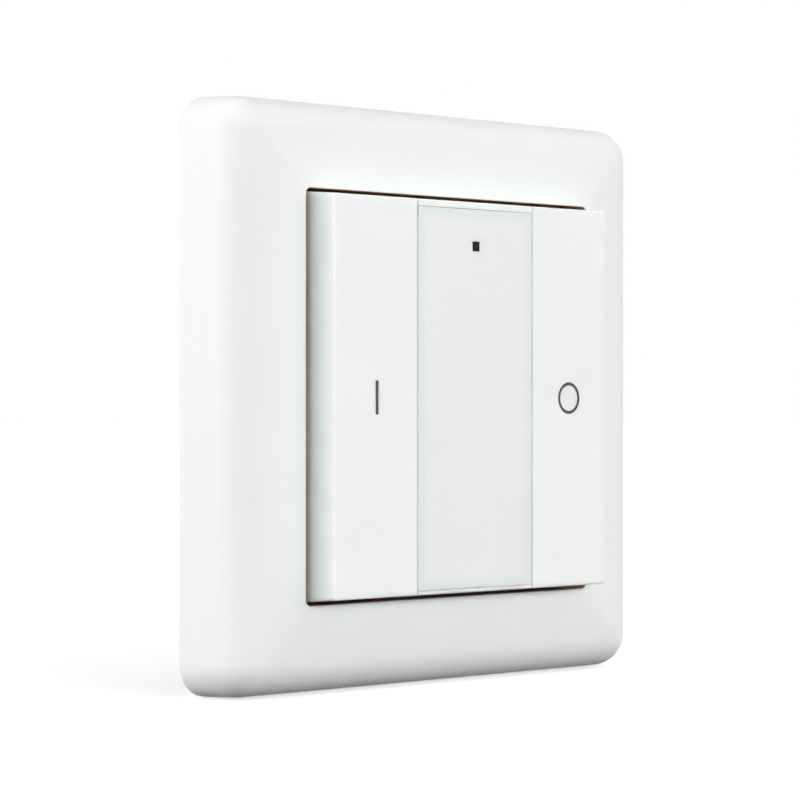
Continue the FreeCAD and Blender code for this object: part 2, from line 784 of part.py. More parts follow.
def module_carrier():
    body = new_body("module_carrier")
    panel = new_sketch(body, "panel", offset=CARRIER_REAR)
    square(panel, CARRIER_HALF)
    pad(body, panel, "carrier_thickness")
    round_edges(body, "corners", "carrier_corner_radius", on_diagonal)
    lip = new_sketch(body, "lip", offset=CARRIER_REAR)
    square(lip, LIP_OUTER)
    square(lip, LIP_INNER)
    pad(body, lip, "lip_depth", rearward=True)
    bosses = new_sketch(body, "bosses", offset=CARRIER_REAR)
    for x, z in SCREWED_CORNERS:
        rectangle(bosses, span(times(x, POST), "boss_width"), span(times(z, POST), "boss_width"))
    pad(body, bosses, "component_room", rearward=True)
    pilots = new_sketch(body, "pilots", offset=BOARD_FRONT)
    for x, z in SCREWED_CORNERS:
        circle(pilots, times(x, POST), times(z, POST), "screw_shank_radius + screw_fit")
    pocket(body, pilots, "component_room + carrier_thickness / 2", forward=True)

    windows = new_sketch(body, "windows")
    for sign in BOTH:
        rectangle(
            windows,
            span(times(sign, KEY_MIDDLE), "(switch_width + 2 * window_room)"),
            spread("(switch_width / 2 + window_room)"),
        )
        inner = f"({STOP_MIDDLE} - stop_thickness / 2 - stop_swing_room)"
        outer = f"({STOP_MIDDLE} + stop_thickness / 2 + nose_clearance)"
        for height_sign in BOTH:
            height = times(height_sign, "stop_spread / 2")
            up = span(height, "(stop_length + 2 * tongue_room)")
            rectangle(windows, between(sign, inner, outer), up)
        inner = "(leg_spread / 2 - leg_thickness / 2 - tongue_room)"
        outer = "(leg_spread / 2 + leg_thickness / 2 + nose_clearance)"
        rectangle(windows, spread("(tongue_width / 2 + tongue_room)"), between(sign, inner, outer))
    rectangle(windows, spread(GUIDE_HOLE_HALF), GUIDE_HOLE_UP)
    pocket(body, windows)

    root = f"({CARRIER_FRONT} - carrier_thickness / 2)"
    for side, sign in SIDES.items():
        across = span(times(sign, HINGE_MIDDLE), "ear_width")
        profile = [(across[0], root), (across[1], root), (across[1], EAR_TOP), (across[0], EAR_TOP)]
        for height_sign in BOTH:
            section_across(body, f"{side}_ear", profile, times(height_sign, EAR_MIDDLE), "ear_thickness")
    bearings = new_sketch(body, "bearings", "XY_Plane")
    mouths = new_sketch(body, "bearing_mouths", "XY_Plane")
    for sign in BOTH:
        circle(bearings, times(sign, HINGE_MIDDLE), f"-{HINGE_DEPTH}", BEARING_RADIUS)
        mouth_depth = f"-{KEY_UNDERSIDE}", f"-{HINGE_DEPTH}"
        rectangle(mouths, span(times(sign, HINGE_MIDDLE), "hinge_mouth"), mouth_depth)
    pocket(body, bearings)
    pocket(body, mouths)
    keep("module_carrier", body)


def module_screws():
    screws = []
    head_front = "(plate_thickness + screw_seat_depth)"
    for number, (x, z) in enumerate(SCREWED_CORNERS, start=1):
        place = times(x, POST), times(z, POST)
        head_depth = f"({head_front} - screw_head_height)", head_front
        shank_depth = f"({head_front} - screw_head_height / 2)", f"({BOARD_FRONT} + screw_bite)"
        head = rod(f"screw_{number}_head", "screw_head_radius", place[0], head_depth, place[1])
        shank = rod(f"screw_{number}_shank", "screw_shank_radius", place[0], shank_depth, place[1])
        screws.append(fused(f"screw_{number}", [head, shank]))
    keep("module_screws", group("screw_group", screws))


def circuit_board():
    body = new_body("circuit_board")
    board = new_sketch(body, "outline", offset=BOARD_REAR)
    square(board, BOARD_HALF)
    for x, z in SCREWED_CORNERS:
        circle(board, times(x, POST), times(z, POST), "screw_shank_radius + screw_clearance")
    pad(body, board, "board_thickness")
    keep("circuit_board", body)


def board_parts():
    shield = new_body("radio_shield")
    can = new_sketch(shield, "outline", offset=BOARD_FRONT)
    rectangle(can, spread("(shield_width / 2)"), span("shield_rise", "shield_height"))
    pad(shield, can, "shield_depth")
    lid = f"({BOARD_FRONT} + shield_depth)"
    round_edges(shield, "edges", "shield_corner_radius", lambda edge: at_depth(edge, lid))
    keep("radio_shield", shield)

    crystal = new_body("crystal")
    case = new_sketch(crystal, "outline", offset=BOARD_FRONT)
    start = "(shield_width / 2 + crystal_gap)"
    rectangle(case, (start, f"{start} + crystal_width"), span("shield_rise", "crystal_height"))
    pad(crystal, case, "crystal_depth")
    keep("crystal", crystal)

    capacitors = []
    first = (CAPACITOR_COUNT - 1) / 2
    for number in range(CAPACITOR_COUNT):
        middle = times(number - first, "capacitor_pitch")
        capacitors.append(
            block(
                f"capacitor_{number + 1}",
                span(middle, "capacitor_width"),
                (BOARD_FRONT, f"{BOARD_FRONT} + capacitor_depth"),
                span("-capacitor_drop", "capacitor_height"),
            )
        )
    keep("chip_capacitors", group("capacitor_group", capacitors))

    led = new_body("status_led")
    led_base = new_sketch(led, "base", offset=BOARD_FRONT)
    rectangle(led_base, spread("(led_width / 2)"), span(GUIDE_HEIGHT, "led_height"))
    pad(led, led_base, "led_base_depth")
    lens = new_sketch(led, "lens", offset=f"{BOARD_FRONT} + led_base_depth")
    rectangle(lens, spread("(led_width / 2 - led_lens_margin)"), span(GUIDE_HEIGHT, "led_height"))
    pad(led, lens, "led_lens_depth")
    keep("status_led", led)


def antenna():
    """A strip bent to a bridge with both feet on the board."""
    body = new_body("antenna")
    outer = "(antenna_length / 2)"
    inner = f"({outer} - antenna_thickness)"
    under = f"({BOARD_FRONT} + antenna_stand)"
    top = f"({under} + antenna_thickness)"
    profile = [
        (outer, BOARD_FRONT), (outer, top), (f"-{outer}", top), (f"-{outer}", BOARD_FRONT),
        (f"-{inner}", BOARD_FRONT), (f"-{inner}", under), (inner, under), (inner, BOARD_FRONT),
    ]
    section_across(body, "bridge", profile, f"-({BASE_INNER} - antenna_inset)", "antenna_width")
    keep("antenna", body)


def cell_and_contacts():
    cell = new_body("coin_cell")
    half = new_sketch(cell, "half_section", "XY_Plane", "-cell_drop")
    shoulder = f"({CELL_FRONT} - cell_cap_height)"
    outline(half, [
        ("0", f"-{CELL_REAR}"), ("cell_radius", f"-{CELL_REAR}"), ("cell_radius", f"-{shoulder}"),
        ("cell_cap_radius", f"-{shoulder}"), ("cell_cap_radius", f"-{CELL_FRONT}"), ("0", f"-{CELL_FRONT}"),
    ])
    revolve(cell, half)
    keep("coin_cell", cell)

    clip = new_body("battery_clip")
    inner = "(cell_radius + clip_gap)"
    outer = f"({inner} + clip_thickness)"
    toe = f"({outer} + clip_foot)"
    strap_rear = f"({CELL_REAR} - clip_thickness)"
    foot_rear = f"({BOARD_REAR} - clip_thickness)"
    right_half = [
        (outer, strap_rear), (outer, foot_rear), (toe, foot_rear),
        (toe, BOARD_REAR), (inner, BOARD_REAR), (inner, CELL_REAR),
    ]
    left_half = [(f"-{across}", depth) for across, depth in reversed(right_half)]
    section_across(clip, "bridge", right_half + left_half, "-cell_drop", "clip_width")
    keep("battery_clip", clip)

    contact = new_body("battery_contact")
    strip = new_sketch(contact, "outline", offset=CELL_FRONT)
    rectangle(strip, spread("(contact_length / 2)"), span("-cell_drop", "contact_width"))
    pad(contact, strip, "contact_thickness")
    keep("battery_contact", contact)


def tactile_switch(side, sign):
    middle = times(sign, KEY_MIDDLE)
    width = span(middle, "switch_width")
    height = spread("(switch_width / 2)")
    flange_hole = "(plunger_flange_half + running_clearance)"
    flange_front = f"({SWITCH_LID} - running_clearance)"

    housing = new_body(f"{side}_switch")
    case = new_sketch(housing, "outline", offset=BOARD_FRONT)
    rectangle(case, width, height)
    pad(housing, case, "switch_height - switch_cover_thickness")
    bore = new_sketch(housing, "bore", offset=SWITCH_LID)
    rectangle(bore, span(middle, f"(2 * {flange_hole})"), spread(flange_hole))
    pocket(housing, bore, "running_clearance + plunger_flange_height + plunger_travel_room")
    keep(f"{side}_switch", housing)

    lid = new_body(f"{side}_switch_cover")
    plate = new_sketch(lid, "outline", offset=SWITCH_LID)
    rectangle(plate, width, height)
    circle(plate, middle, "0", "plunger_radius + running_clearance")
    pad(lid, plate, "switch_cover_thickness")
    keep(f"{side}_switch_cover", lid)

    plunger = new_body(f"{side}_plunger")
    flange = new_sketch(plunger, "flange", offset=flange_front)
    rectangle(flange, span(middle, "(2 * plunger_flange_half)"), spread("plunger_flange_half"))
    pad(plunger, flange, "plunger_flange_height", rearward=True)
    stem = new_sketch(plunger, "stem", offset=flange_front)
    circle(stem, middle, "0", "plunger_radius")
    pad(plunger, stem, f"{PLUNGER_TOP} - {flange_front}")
    keep(f"{side}_plunger", plunger)


# Keys and label

def key_face():
    """The hollow face block that the two keys and the label bar are parted from."""
    body = new_body("key_face")
    block_shape = body.newObject("PartDesign::AdditiveWedge", "key_face_block")
    limits = {
        "Ymin": f"-{KEY_FRONT}", "Ymax": f"-{KEY_REAR}",
        "Xmin": f"-{KEY_FACE_HALF}", "Xmax": KEY_FACE_HALF,
        "Zmin": f"-{KEY_FACE_HALF}", "Zmax": KEY_FACE_HALF,
        "X2min": f"-{KEY_SKIRT_HALF}", "X2max": KEY_SKIRT_HALF,
        "Z2min": f"-{KEY_SKIRT_HALF}", "Z2max": KEY_SKIRT_HALF,
    }
    for limit, expression in limits.items():
        block_shape.setExpression(limit, bound(expression))
    settled(block_shape)
    round_edges(body, "corners", "key_corner_radius", on_diagonal)
    round_edges(body, "front_edges", "key_edge_radius", lambda edge: at_depth(edge, KEY_FRONT))
    hollow = new_sketch(body, "hollow", offset=KEY_REAR)
    square(hollow, KEY_HOLLOW_HALF)
    pocket(body, hollow, "key_skirt - key_face_thickness", forward=True)
    return body


def key(side, sign, face):
    beyond = "(opening_width / 2)"
    ends = spread(beyond)
    welded = f"({KEY_UNDERSIDE} + weld)"
    half_face = block(f"{side}_key_half", between(sign, KEY_INNER_EDGE, beyond), (KEY_REAR, KEY_FRONT), ends)
    pieces = [shared(f"{side}_key_face", face, half_face)]

    hinge = times(sign, HINGE_MIDDLE)
    pin_run = "(ear_gap + ear_thickness)"
    for word, up in LEVELS.items():
        lug_up = span(times(up, LUG_MIDDLE), "lug_thickness")
        pin_up = between(up, LUG_MIDDLE, f"({LUG_MIDDLE} + lug_thickness / 2 + {pin_run})")
        pieces += [
            block(f"{side}_{word}_lug", span(hinge, "lug_width"), (HINGE_DEPTH, welded), lug_up),
            upright_rod(f"{side}_{word}_lug_end", "lug_width / 2", hinge, HINGE_DEPTH, lug_up),
            upright_rod(f"{side}_{word}_pin", "hinge_pin_radius", hinge, HINGE_DEPTH, pin_up),
        ]
        stop_up = span(times(up, "stop_spread / 2"), "stop_length")
        stop_inner = f"({STOP_MIDDLE} - stop_thickness / 2)"
        stop_outer = f"({STOP_MIDDLE} + stop_thickness / 2)"
        stop_across = between(sign, stop_inner, stop_outer)
        nose_across = between(sign, stop_inner, f"({stop_outer} + stop_reach)")
        rib_across = between(sign, f"({KEY_INNER_EDGE} + lug_width)", f"({KEY_HOLLOW_HALF} + weld)")
        rib_depth = f"({KEY_UNDERSIDE} - rib_height)", welded
        rib_up = span(times(up, "rib_spread / 2"), "rib_thickness")
        pieces += [
            block(f"{side}_{word}_stop", stop_across, (NOSE_REAR, welded), stop_up),
            block(f"{side}_{word}_stop_nose", nose_across, (NOSE_REAR, NOSE_FRONT), stop_up),
            block(f"{side}_{word}_rib", rib_across, rib_depth, rib_up),
        ]
    tip = f"({PLUNGER_TOP} + press_gap)"
    shoulder = f"({tip} + press_tip_height)"
    middle = times(sign, KEY_MIDDLE)
    pieces += [
        rod(f"{side}_press_boss", "press_boss_radius", middle, (shoulder, welded), "0"),
        taper(f"{side}_press_tip", ("press_tip_radius", "press_boss_radius"), middle, (tip, shoulder), "0"),
    ]
    keep(f"{side}_key", fused(f"{side}_key_solid", pieces))


def label_bar(face):
    ends = spread("(opening_width / 2)")
    middle_face = block("bar_middle", spread(BAR_HALF), (KEY_REAR, KEY_FRONT), ends)
    floor_ends = spread(f"({KEY_HOLLOW_HALF} + weld)")
    pieces = [
        shared("bar_face", face, middle_face),
        block("bar_floor_plate", spread(BAR_HALF), (BAR_REAR, WINDOW_REAR), floor_ends),
    ]
    welded = f"({BAR_REAR} + weld)"
    tongue_across = spread("(tongue_width / 2)")
    for word, up in LEVELS.items():
        leg_up = span(times(up, "leg_spread / 2"), "leg_thickness")
        nose_up = between(up, "(leg_spread / 2)", "(leg_spread / 2 + leg_thickness / 2 + stop_reach)")
        pieces += [
            block(f"bar_{word}_leg", spread("(leg_width / 2)"), (CARRIER_FRONT, welded), leg_up),
            block(f"bar_{word}_tongue", tongue_across, (NOSE_REAR, welded), leg_up),
            block(f"bar_{word}_nose", tongue_across, (NOSE_REAR, NOSE_FRONT), nose_up),
        ]
    clear_front = f"({KEY_FRONT} + weld)"
    window_across = spread(f"({BAR_HALF} + weld)")
    window_up = f"-{WINDOW_BOTTOM}", WINDOW_TOP
    sheet_across = spread(f"({SHEET_HALF} + window_play)")
    sheet_up = f"-({SHEET_BOTTOM} + window_play)", f"({SHEET_TOP} + window_play)"
    tools = [
        block("window_seat", window_across, (WINDOW_REAR, clear_front), window_up),
        block("sheet_seat", sheet_across, (SHEET_REAR, clear_front), sheet_up),
        block("guide_way", spread(GUIDE_HOLE_HALF), (f"({BAR_REAR} - weld)", clear_front), GUIDE_HOLE_UP),
    ]
    keep("label_bar", cut("bar_solid", fused("bar_blank", pieces), tools))


def label():
    window = new_body("label_window")
    pane = new_sketch(window, "outline", offset=WINDOW_REAR)
    pane_up = f"-({WINDOW_BOTTOM} - window_play)", f"({WINDOW_TOP} - window_play)"
    rectangle(pane, spread(BAR_HALF), pane_up)
    rectangle(pane, spread(GUIDE_HOLE_HALF), GUIDE_HOLE_UP)
    pad(window, pane, "window_thickness")
    pane_half = value(BAR_HALF)

    def pane_rim(edge):
        return at_depth(edge, KEY_FRONT) and edge.Length > pane_half

    round_edges(window, "rim", "window_edge_radius", pane_rim)
    keep("label_window", window)

    paper = new_body("label_sheet")
    cut_size = new_sketch(paper, "outline", offset=SHEET_REAR)
    rectangle(cut_size, spread(SHEET_HALF), (f"-{SHEET_BOTTOM}", SHEET_TOP))
    rectangle(cut_size, spread(GUIDE_HOLE_HALF), GUIDE_HOLE_UP)
    pad(paper, cut_size, "sheet_thickness")
    keep("label_sheet", paper)

    guide = new_body("light_guide")
    stem_rear = f"({BOARD_FRONT} + led_base_depth + led_lens_depth + guide_led_gap)"
    stem = new_sketch(guide, "stem", offset=stem_rear)
    rectangle(stem, spread("(guide_width / 2)"), span(GUIDE_HEIGHT, "guide_width"))
    pad(guide, stem, f"{KEY_FRONT} - {stem_rear}")
    collar = new_sketch(guide, "collar", offset=CARRIER_FRONT)
    rectangle(collar, spread("(guide_collar_width / 2)"), span(GUIDE_HEIGHT, "guide_collar_width"))
    pad(guide, collar, "guide_collar_depth")
    keep("light_guide", guide)


cover_frame()
mounting_plate()
module_base()
module_carrier()
module_screws()
circuit_board()
board_parts()
antenna()
cell_and_contacts()
face_block = key_face()
for side_name, side_sign in SIDES.items():
    tactile_switch(side_name, side_sign)
    key(side_name, side_sign, face_block)
label_bar(face_block)
label()
doc.recompute()

for thing in doc.Objects:
    if "Invalid" in thing.State or "Error" in thing.State:
        raise RuntimeError(f"{thing.Label} failed: {thing.State}")
for label_name, solid in nodes.items():
    if solid.Shape.isNull() or not solid.Shape.isValid():
        raise RuntimeError(f"{label_name} has no valid shape")

os.makedirs("parts", exist_ok=True)
for label_name, solid in nodes.items():
    solid.Shape.exportStep(f"parts/{label_name}.step")
    print(f"{label_name}: {len(solid.Shape.Solids)} solids, {solid.Shape.Volume:.1f} mm3")
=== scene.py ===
"""Looks of a wireless remote wall switch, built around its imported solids.

Metres, in the frame of the solids: +X is right and +Z up as seen from the front, the wall is at
Y = 0 and the front looks towards -Y. A depth is a distance from the wall, so a point at depth d has
Y = -d. Sizes in the classes are millimetres and degrees.
"""

import logging
import math
from dataclasses import dataclass, field
from enum import Enum
from typing import Any

import bmesh
import bpy
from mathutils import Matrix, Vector

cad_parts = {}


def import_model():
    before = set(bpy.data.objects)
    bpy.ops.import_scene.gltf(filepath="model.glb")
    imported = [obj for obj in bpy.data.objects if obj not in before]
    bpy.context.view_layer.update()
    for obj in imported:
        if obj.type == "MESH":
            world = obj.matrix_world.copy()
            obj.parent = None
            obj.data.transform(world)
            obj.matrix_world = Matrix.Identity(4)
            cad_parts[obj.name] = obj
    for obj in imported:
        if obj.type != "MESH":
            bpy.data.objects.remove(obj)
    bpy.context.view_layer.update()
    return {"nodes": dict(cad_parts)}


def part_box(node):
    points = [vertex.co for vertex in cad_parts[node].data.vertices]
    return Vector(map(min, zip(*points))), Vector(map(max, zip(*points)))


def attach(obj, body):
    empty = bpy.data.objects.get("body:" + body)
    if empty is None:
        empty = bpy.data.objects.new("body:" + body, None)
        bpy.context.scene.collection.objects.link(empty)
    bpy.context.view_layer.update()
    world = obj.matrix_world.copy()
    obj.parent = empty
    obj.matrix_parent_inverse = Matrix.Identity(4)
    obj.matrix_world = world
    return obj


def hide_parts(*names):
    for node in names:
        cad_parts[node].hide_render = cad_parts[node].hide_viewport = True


LOG = logging.getLogger("wall_switch")
MM = 0.001
IMAGE_WIDTH = 800
WHITE = "#FFFFFF"
# Most of a noise lies between these two values.
NOISE_LOW, NOISE_HIGH = 0.3, 0.7
# Red, green and blue light spread equally far under a skin.
EVEN_SPREAD = (1.0, 1.0, 1.0)
# The weight at which the largest face alone sets a corner's normal.
FACE_WEIGHT = 100
Colour = tuple[float, float, float, float]
Point = tuple[float, float, float]
Solids = dict[str, bpy.types.Object]


def linear(shade: str) -> Colour:
    """Turns an sRGB hex shade to linear light.

    Args:
        shade: six hex digits after a hash sign.

    Returns:
        Red, green, blue and a full alpha.
    """
    channels = [int(shade[start:start + 2], 16) / 255 for start in (1, 3, 5)]
    light = [c / 12.92 if c <= 0.04045 else ((c + 0.055) / 1.055) ** 2.4 for c in channels]
    return (light[0], light[1], light[2], 1.0)


def add_node(
    tree: bpy.types.NodeTree,
    kind: str,
    inputs: dict[str | int, Any] | None = None,
    **settings: Any,
) -> bpy.types.Node:
    """Adds a node with its settings and links.

    Args:
        tree: the node tree that it joins.
        kind: the node's type.
        inputs: for each input, by name or number, a value or the output that feeds it.
        settings: the node's own properties.

    Returns:
        The new node.
    """
    node = tree.nodes.new(kind)
    for name, setting in settings.items():
        setattr(node, name, setting)
    for name, source in (inputs or {}).items():
        if isinstance(source, bpy.types.NodeSocket):
            tree.links.new(source, node.inputs[name])
        else:
            node.inputs[name].default_value = source
    return node


def seen_directly(tree: bpy.types.NodeTree) -> bpy.types.NodeSocket:
    """Tells rays that show the background from rays that carry its light.

    Args:
        tree: the floor's or the world's nodes.

    Returns:
        One for camera, glossy and transmission rays, or else zero.
    """
    path = add_node(tree, "ShaderNodeLightPath")
    either = add_node(
        tree,
        "ShaderNodeMath",
        {0: path.outputs["Is Camera Ray"], 1: path.outputs["Is Glossy Ray"]},
        operation="MAXIMUM",
    )
    return add_node(
        tree,
        "ShaderNodeMath",
        {0: either.outputs[0], 1: path.outputs["Is Transmission Ray"]},
        operation="MAXIMUM",
    ).outputs[0]


def direction(azimuth: float, elevation: float) -> Vector:
    """Gives the unit direction from the object to a place in the room.

    Args:
        azimuth: degrees from the front towards +X.
        elevation: degrees above the level.

    Returns:
        The direction in the frame of the solids.
    """
    turn, rise = math.radians(azimuth), math.radians(elevation)
    level = math.cos(rise)
    return Vector((math.sin(turn) * level, -math.cos(turn) * level, math.sin(rise)))


def loft(mesh: bmesh.types.BMesh, rings: list[list[Point]], capped: bool = False) -> None:
    """Closes a solid from rings of points, each joined to the next.

    Args:
        mesh: the mesh that takes the faces.
        rings: closed lines with the same number of points each, in metres.
        capped: the first and last ring get a face each; or else the last ring joins the first.
    """
    made = [[mesh.verts.new(place) for place in ring] for ring in rings]
    following = made[1:] if capped else made[1:] + made[:1]
    for ring, next_ring in zip(made, following):
        for index in range(len(ring)):
            after = (index + 1) % len(ring)
            mesh.faces.new((ring[index], ring[after], next_ring[after], next_ring[index]))
    if capped:
        mesh.faces.new(made[0])
        mesh.faces.new(made[-1])


def new_piece(name: str, mesh: bmesh.types.BMesh, sharp_angle: float = 35.0) -> bpy.types.Object:
    """Makes a smooth-shaded object of a finished mesh.

    Args:
        name: the piece's name.
        mesh: its faces, in metres; it is freed.
        sharp_angle: edges that turn by more than this stay sharp.

    Returns:
        The object, linked to the scene.
    """
    bmesh.ops.recalc_face_normals(mesh, faces=mesh.faces)
    data = bpy.data.meshes.new(name)
    mesh.to_mesh(data)
    mesh.free()
    data.shade_smooth()
    data.set_sharp_from_angle(angle=math.radians(sharp_angle))
    piece = bpy.data.objects.new(name, data)
    bpy.context.scene.collection.objects.link(piece)
    return piece


@dataclass(frozen=True)
class Finish:
    """A finish by the name of its real material; each kind builds its own shader."""

    name: str

    def shader(self, tree: bpy.types.NodeTree) -> bpy.types.Node:
        """Builds the finish's nodes and gives the last of them."""
        raise NotImplementedError

    def material(self) -> bpy.types.Material:
        """Gives the finish's material, made when the first piece asks for it.

        Returns:
            The material, which all pieces of the finish share.
        """
        material = bpy.data.materials.get(self.name)
        if material is None:
            material = bpy.data.materials.new(self.name)
            material.use_nodes = True
            tree = material.node_tree
            tree.nodes.clear()
            shader = self.shader(tree)
            add_node(tree, "ShaderNodeOutputMaterial", {"Surface": shader.outputs[0]})
        return material

    def dress(self, piece: bpy.types.Object) -> None:
        """Gives a piece this one finish and reports it.

        Args:
            piece: the object that is dressed.
        """
        piece.data.materials.clear()
        piece.data.materials.append(self.material())
        LOG.info("%s: %s, %d faces", piece.name, self.name, len(piece.data.polygons))

    def dress_solid(self, solid: bpy.types.Object, sharp_angle: float = 30.0) -> None:
        """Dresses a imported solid: flats stay flat, roundings smooth and edges sharp.

        Args:
            solid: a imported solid, whose mesh stays as it is.
            sharp_angle: edges that turn by more than this stay sharp.
        """
        split = solid.modifiers.new("sharp_edges", "EDGE_SPLIT")
        split.split_angle = math.radians(sharp_angle)
        weighted = solid.modifiers.new("flat_faces", "WEIGHTED_NORMAL")
        weighted.mode = "FACE_AREA"
        weighted.weight = FACE_WEIGHT
        self.dress(solid)


@dataclass(frozen=True)
class MouldedPlastic(Finish):
    """A thermoplastic moulded in an eroded tool: a satin skin, fine grain and faint flow in it.

    The grain of such a tool is about 0.05 mm, too fine to show, so it is drawn a few times coarser.
    Light spreads a little way under the skin. A thin skirt behind the front may get painted shade
    of
    its own: cooler down the skirt and warm at its root.
    """

    shade: str
    deep_shade: str
    roughness: float = 0.45
    gloss_swing: float = 0.04
    ior: float = 1.53
    specular: float = 0.3
    grain: float = 0.3
    grain_depth: float = 0.0025
    grain_detail: float = 3.0
    flow: float = 16.0
    flow_detail: float = 2.0
    scatter: float = 0.0
    scatter_depth: float = 0.8
    skirt_painted_shade: str = ""
    skirt_start: float = 15.7
    skirt_end: float = 14.4
    root_painted_shade: str = ""
    root_start: float = 12.0
    root_end: float = 11.2

    def skirt(
        self, tree: bpy.types.NodeTree, place: bpy.types.NodeSocket, front: bpy.types.NodeSocket
    ) -> bpy.types.NodeSocket:
        """Turns the front's shade to the skirt's, and that to its root's, by the depth.

        Args:
            tree: the finish's nodes.
            place: the point in the frame of the solids.
            front: the shade of the front.

        Returns:
            The shade at that point.
        """
        axes = add_node(tree, "ShaderNodeSeparateXYZ", {0: place})
        shade = front
        # Painted shade by the depth: cool down the skirt, warm at its root in the gap.
        for deeper, start, end in (
            (self.skirt_painted_shade, self.skirt_start, self.skirt_end),
            (self.root_painted_shade, self.root_start, self.root_end),
        ):
            share = add_node(
                tree, "ShaderNodeMapRange", {0: axes.outputs[1], 1: -start * MM, 2: -end * MM}
            )
            shade = add_node(
                tree,
                "ShaderNodeMix",
                {0: share.outputs[0], 6: shade, 7: linear(deeper)},
                data_type="RGBA",
            ).outputs[2]
        return shade

    def shader(self, tree: bpy.types.NodeTree) -> bpy.types.Node:
        """Mixes two shades by the flow, and tilts the skin and varies its gloss by the grain.

        Args:
            tree: the material's nodes.

        Returns:
            The shader that goes to the surface.
        """
        place = add_node(tree, "ShaderNodeTexCoord").outputs["Object"]
        flow = add_node(
            tree,
            "ShaderNodeTexNoise",
            {"Vector": place, "Scale": 1 / (self.flow * MM), "Detail": self.flow_detail},
        )
        grain = add_node(
            tree,
            "ShaderNodeTexNoise",
            {"Vector": place, "Scale": 1 / (self.grain * MM), "Detail": self.grain_detail},
        )
        shade = add_node(
            tree,
            "ShaderNodeMix",
            {0: flow.outputs[0], 6: linear(self.shade), 7: linear(self.deep_shade)},
            data_type="RGBA",
        ).outputs[2]
        if self.skirt_painted_shade:
            shade = self.skirt(tree, place, shade)
        gloss = add_node(
            tree,
            "ShaderNodeMapRange",
            {
                0: grain.outputs[0],
                1: NOISE_LOW,
                2: NOISE_HIGH,
                3: self.roughness - self.gloss_swing,
                4: self.roughness + self.gloss_swing,
            },
        )
        skin = add_node(
            tree,
            "ShaderNodeBump",
            {"Height": grain.outputs[0], "Distance": self.grain_depth * MM, "Strength": 1.0},
        )
        return add_node(
            tree,
            "ShaderNodeBsdfPrincipled",
            {
                "Base Color": shade,
                "Roughness": gloss.outputs[0],
                "IOR": self.ior,
                "Specular IOR Level": self.specular,
                "Subsurface Weight": self.scatter,
                "Subsurface Radius": EVEN_SPREAD,
                "Subsurface Scale": self.scatter_depth * MM,
                "Normal": skin.outputs[0],
            },
            subsurface_method="BURLEY",
        )


@dataclass(frozen=True)
class MilkyPane(Finish):
    """Milky acrylic, moulded smooth: it veils what lies behind it, most of all at its cool rim."""

    half_width: float
    top: float
    bottom: float
    shade: str = "#F9F9F9"
    rim_painted_shade: str = "#EAF1EF"
    haze: float = 0.9
    rim_haze: float = 0.94
    rim_start: float = 0.5
    rim_end: float = 2.0
    roughness: float = 0.16
    ior: float = 1.49
    specular: float = 0.4
    scatter_depth: float = 1.2

    def shader(self, tree: bpy.types.NodeTree) -> bpy.types.Node:
        """Lets the distance to the nearest edge drive tint and haze.

        Args:
            tree: the material's nodes.

        Returns:
            The shader that goes to the surface.
        """
        place = add_node(tree, "ShaderNodeTexCoord").outputs["Object"]
        axes = add_node(tree, "ShaderNodeSeparateXYZ", {0: place})
        across = add_node(tree, "ShaderNodeMath", {0: axes.outputs[0]}, operation="ABSOLUTE")
        middle = (self.top + self.bottom) / 2 * MM
        raised = add_node(
            tree, "ShaderNodeMath", {0: axes.outputs[2], 1: middle}, operation="SUBTRACT"
        )
        upright = add_node(tree, "ShaderNodeMath", {0: raised.outputs[0]}, operation="ABSOLUTE")
        half_height = (self.top - self.bottom) / 2 * MM
        side_room = add_node(
            tree,
            "ShaderNodeMath",
            {0: self.half_width * MM, 1: across.outputs[0]},
            operation="SUBTRACT",
        )
        end_room = add_node(
            tree, "ShaderNodeMath", {0: half_height, 1: upright.outputs[0]}, operation="SUBTRACT"
        )
        room = add_node(
            tree,
            "ShaderNodeMath",
            {0: side_room.outputs[0], 1: end_room.outputs[0]},
            operation="MINIMUM",
        )
        rim = add_node(
            tree,
            "ShaderNodeMapRange",
            {0: room.outputs[0], 1: self.rim_start * MM, 2: self.rim_end * MM, 3: 1.0, 4: 0.0},
            interpolation_type="SMOOTHSTEP",
        )
        # Painted shade at the rim: cooler and darker towards the pane's edges.
        tint = add_node(
            tree,
            "ShaderNodeMix",
            {0: rim.outputs[0], 6: linear(self.shade), 7: linear(self.rim_painted_shade)},
            data_type="RGBA",
        )
        haze = add_node(
            tree, "ShaderNodeMapRange", {0: rim.outputs[0], 3: self.haze, 4: self.rim_haze}
        )
        return add_node(
            tree,
            "ShaderNodeBsdfPrincipled",
            {
                "Base Color": tint.outputs[2],
                "Alpha": haze.outputs[0],
                "Roughness": self.roughness,
                "IOR": self.ior,
                "Specular IOR Level": self.specular,
                "Subsurface Weight": 1.0,
                "Subsurface Radius": EVEN_SPREAD,
                "Subsurface Scale": self.scatter_depth * MM,
            },
            subsurface_method="BURLEY",
        )


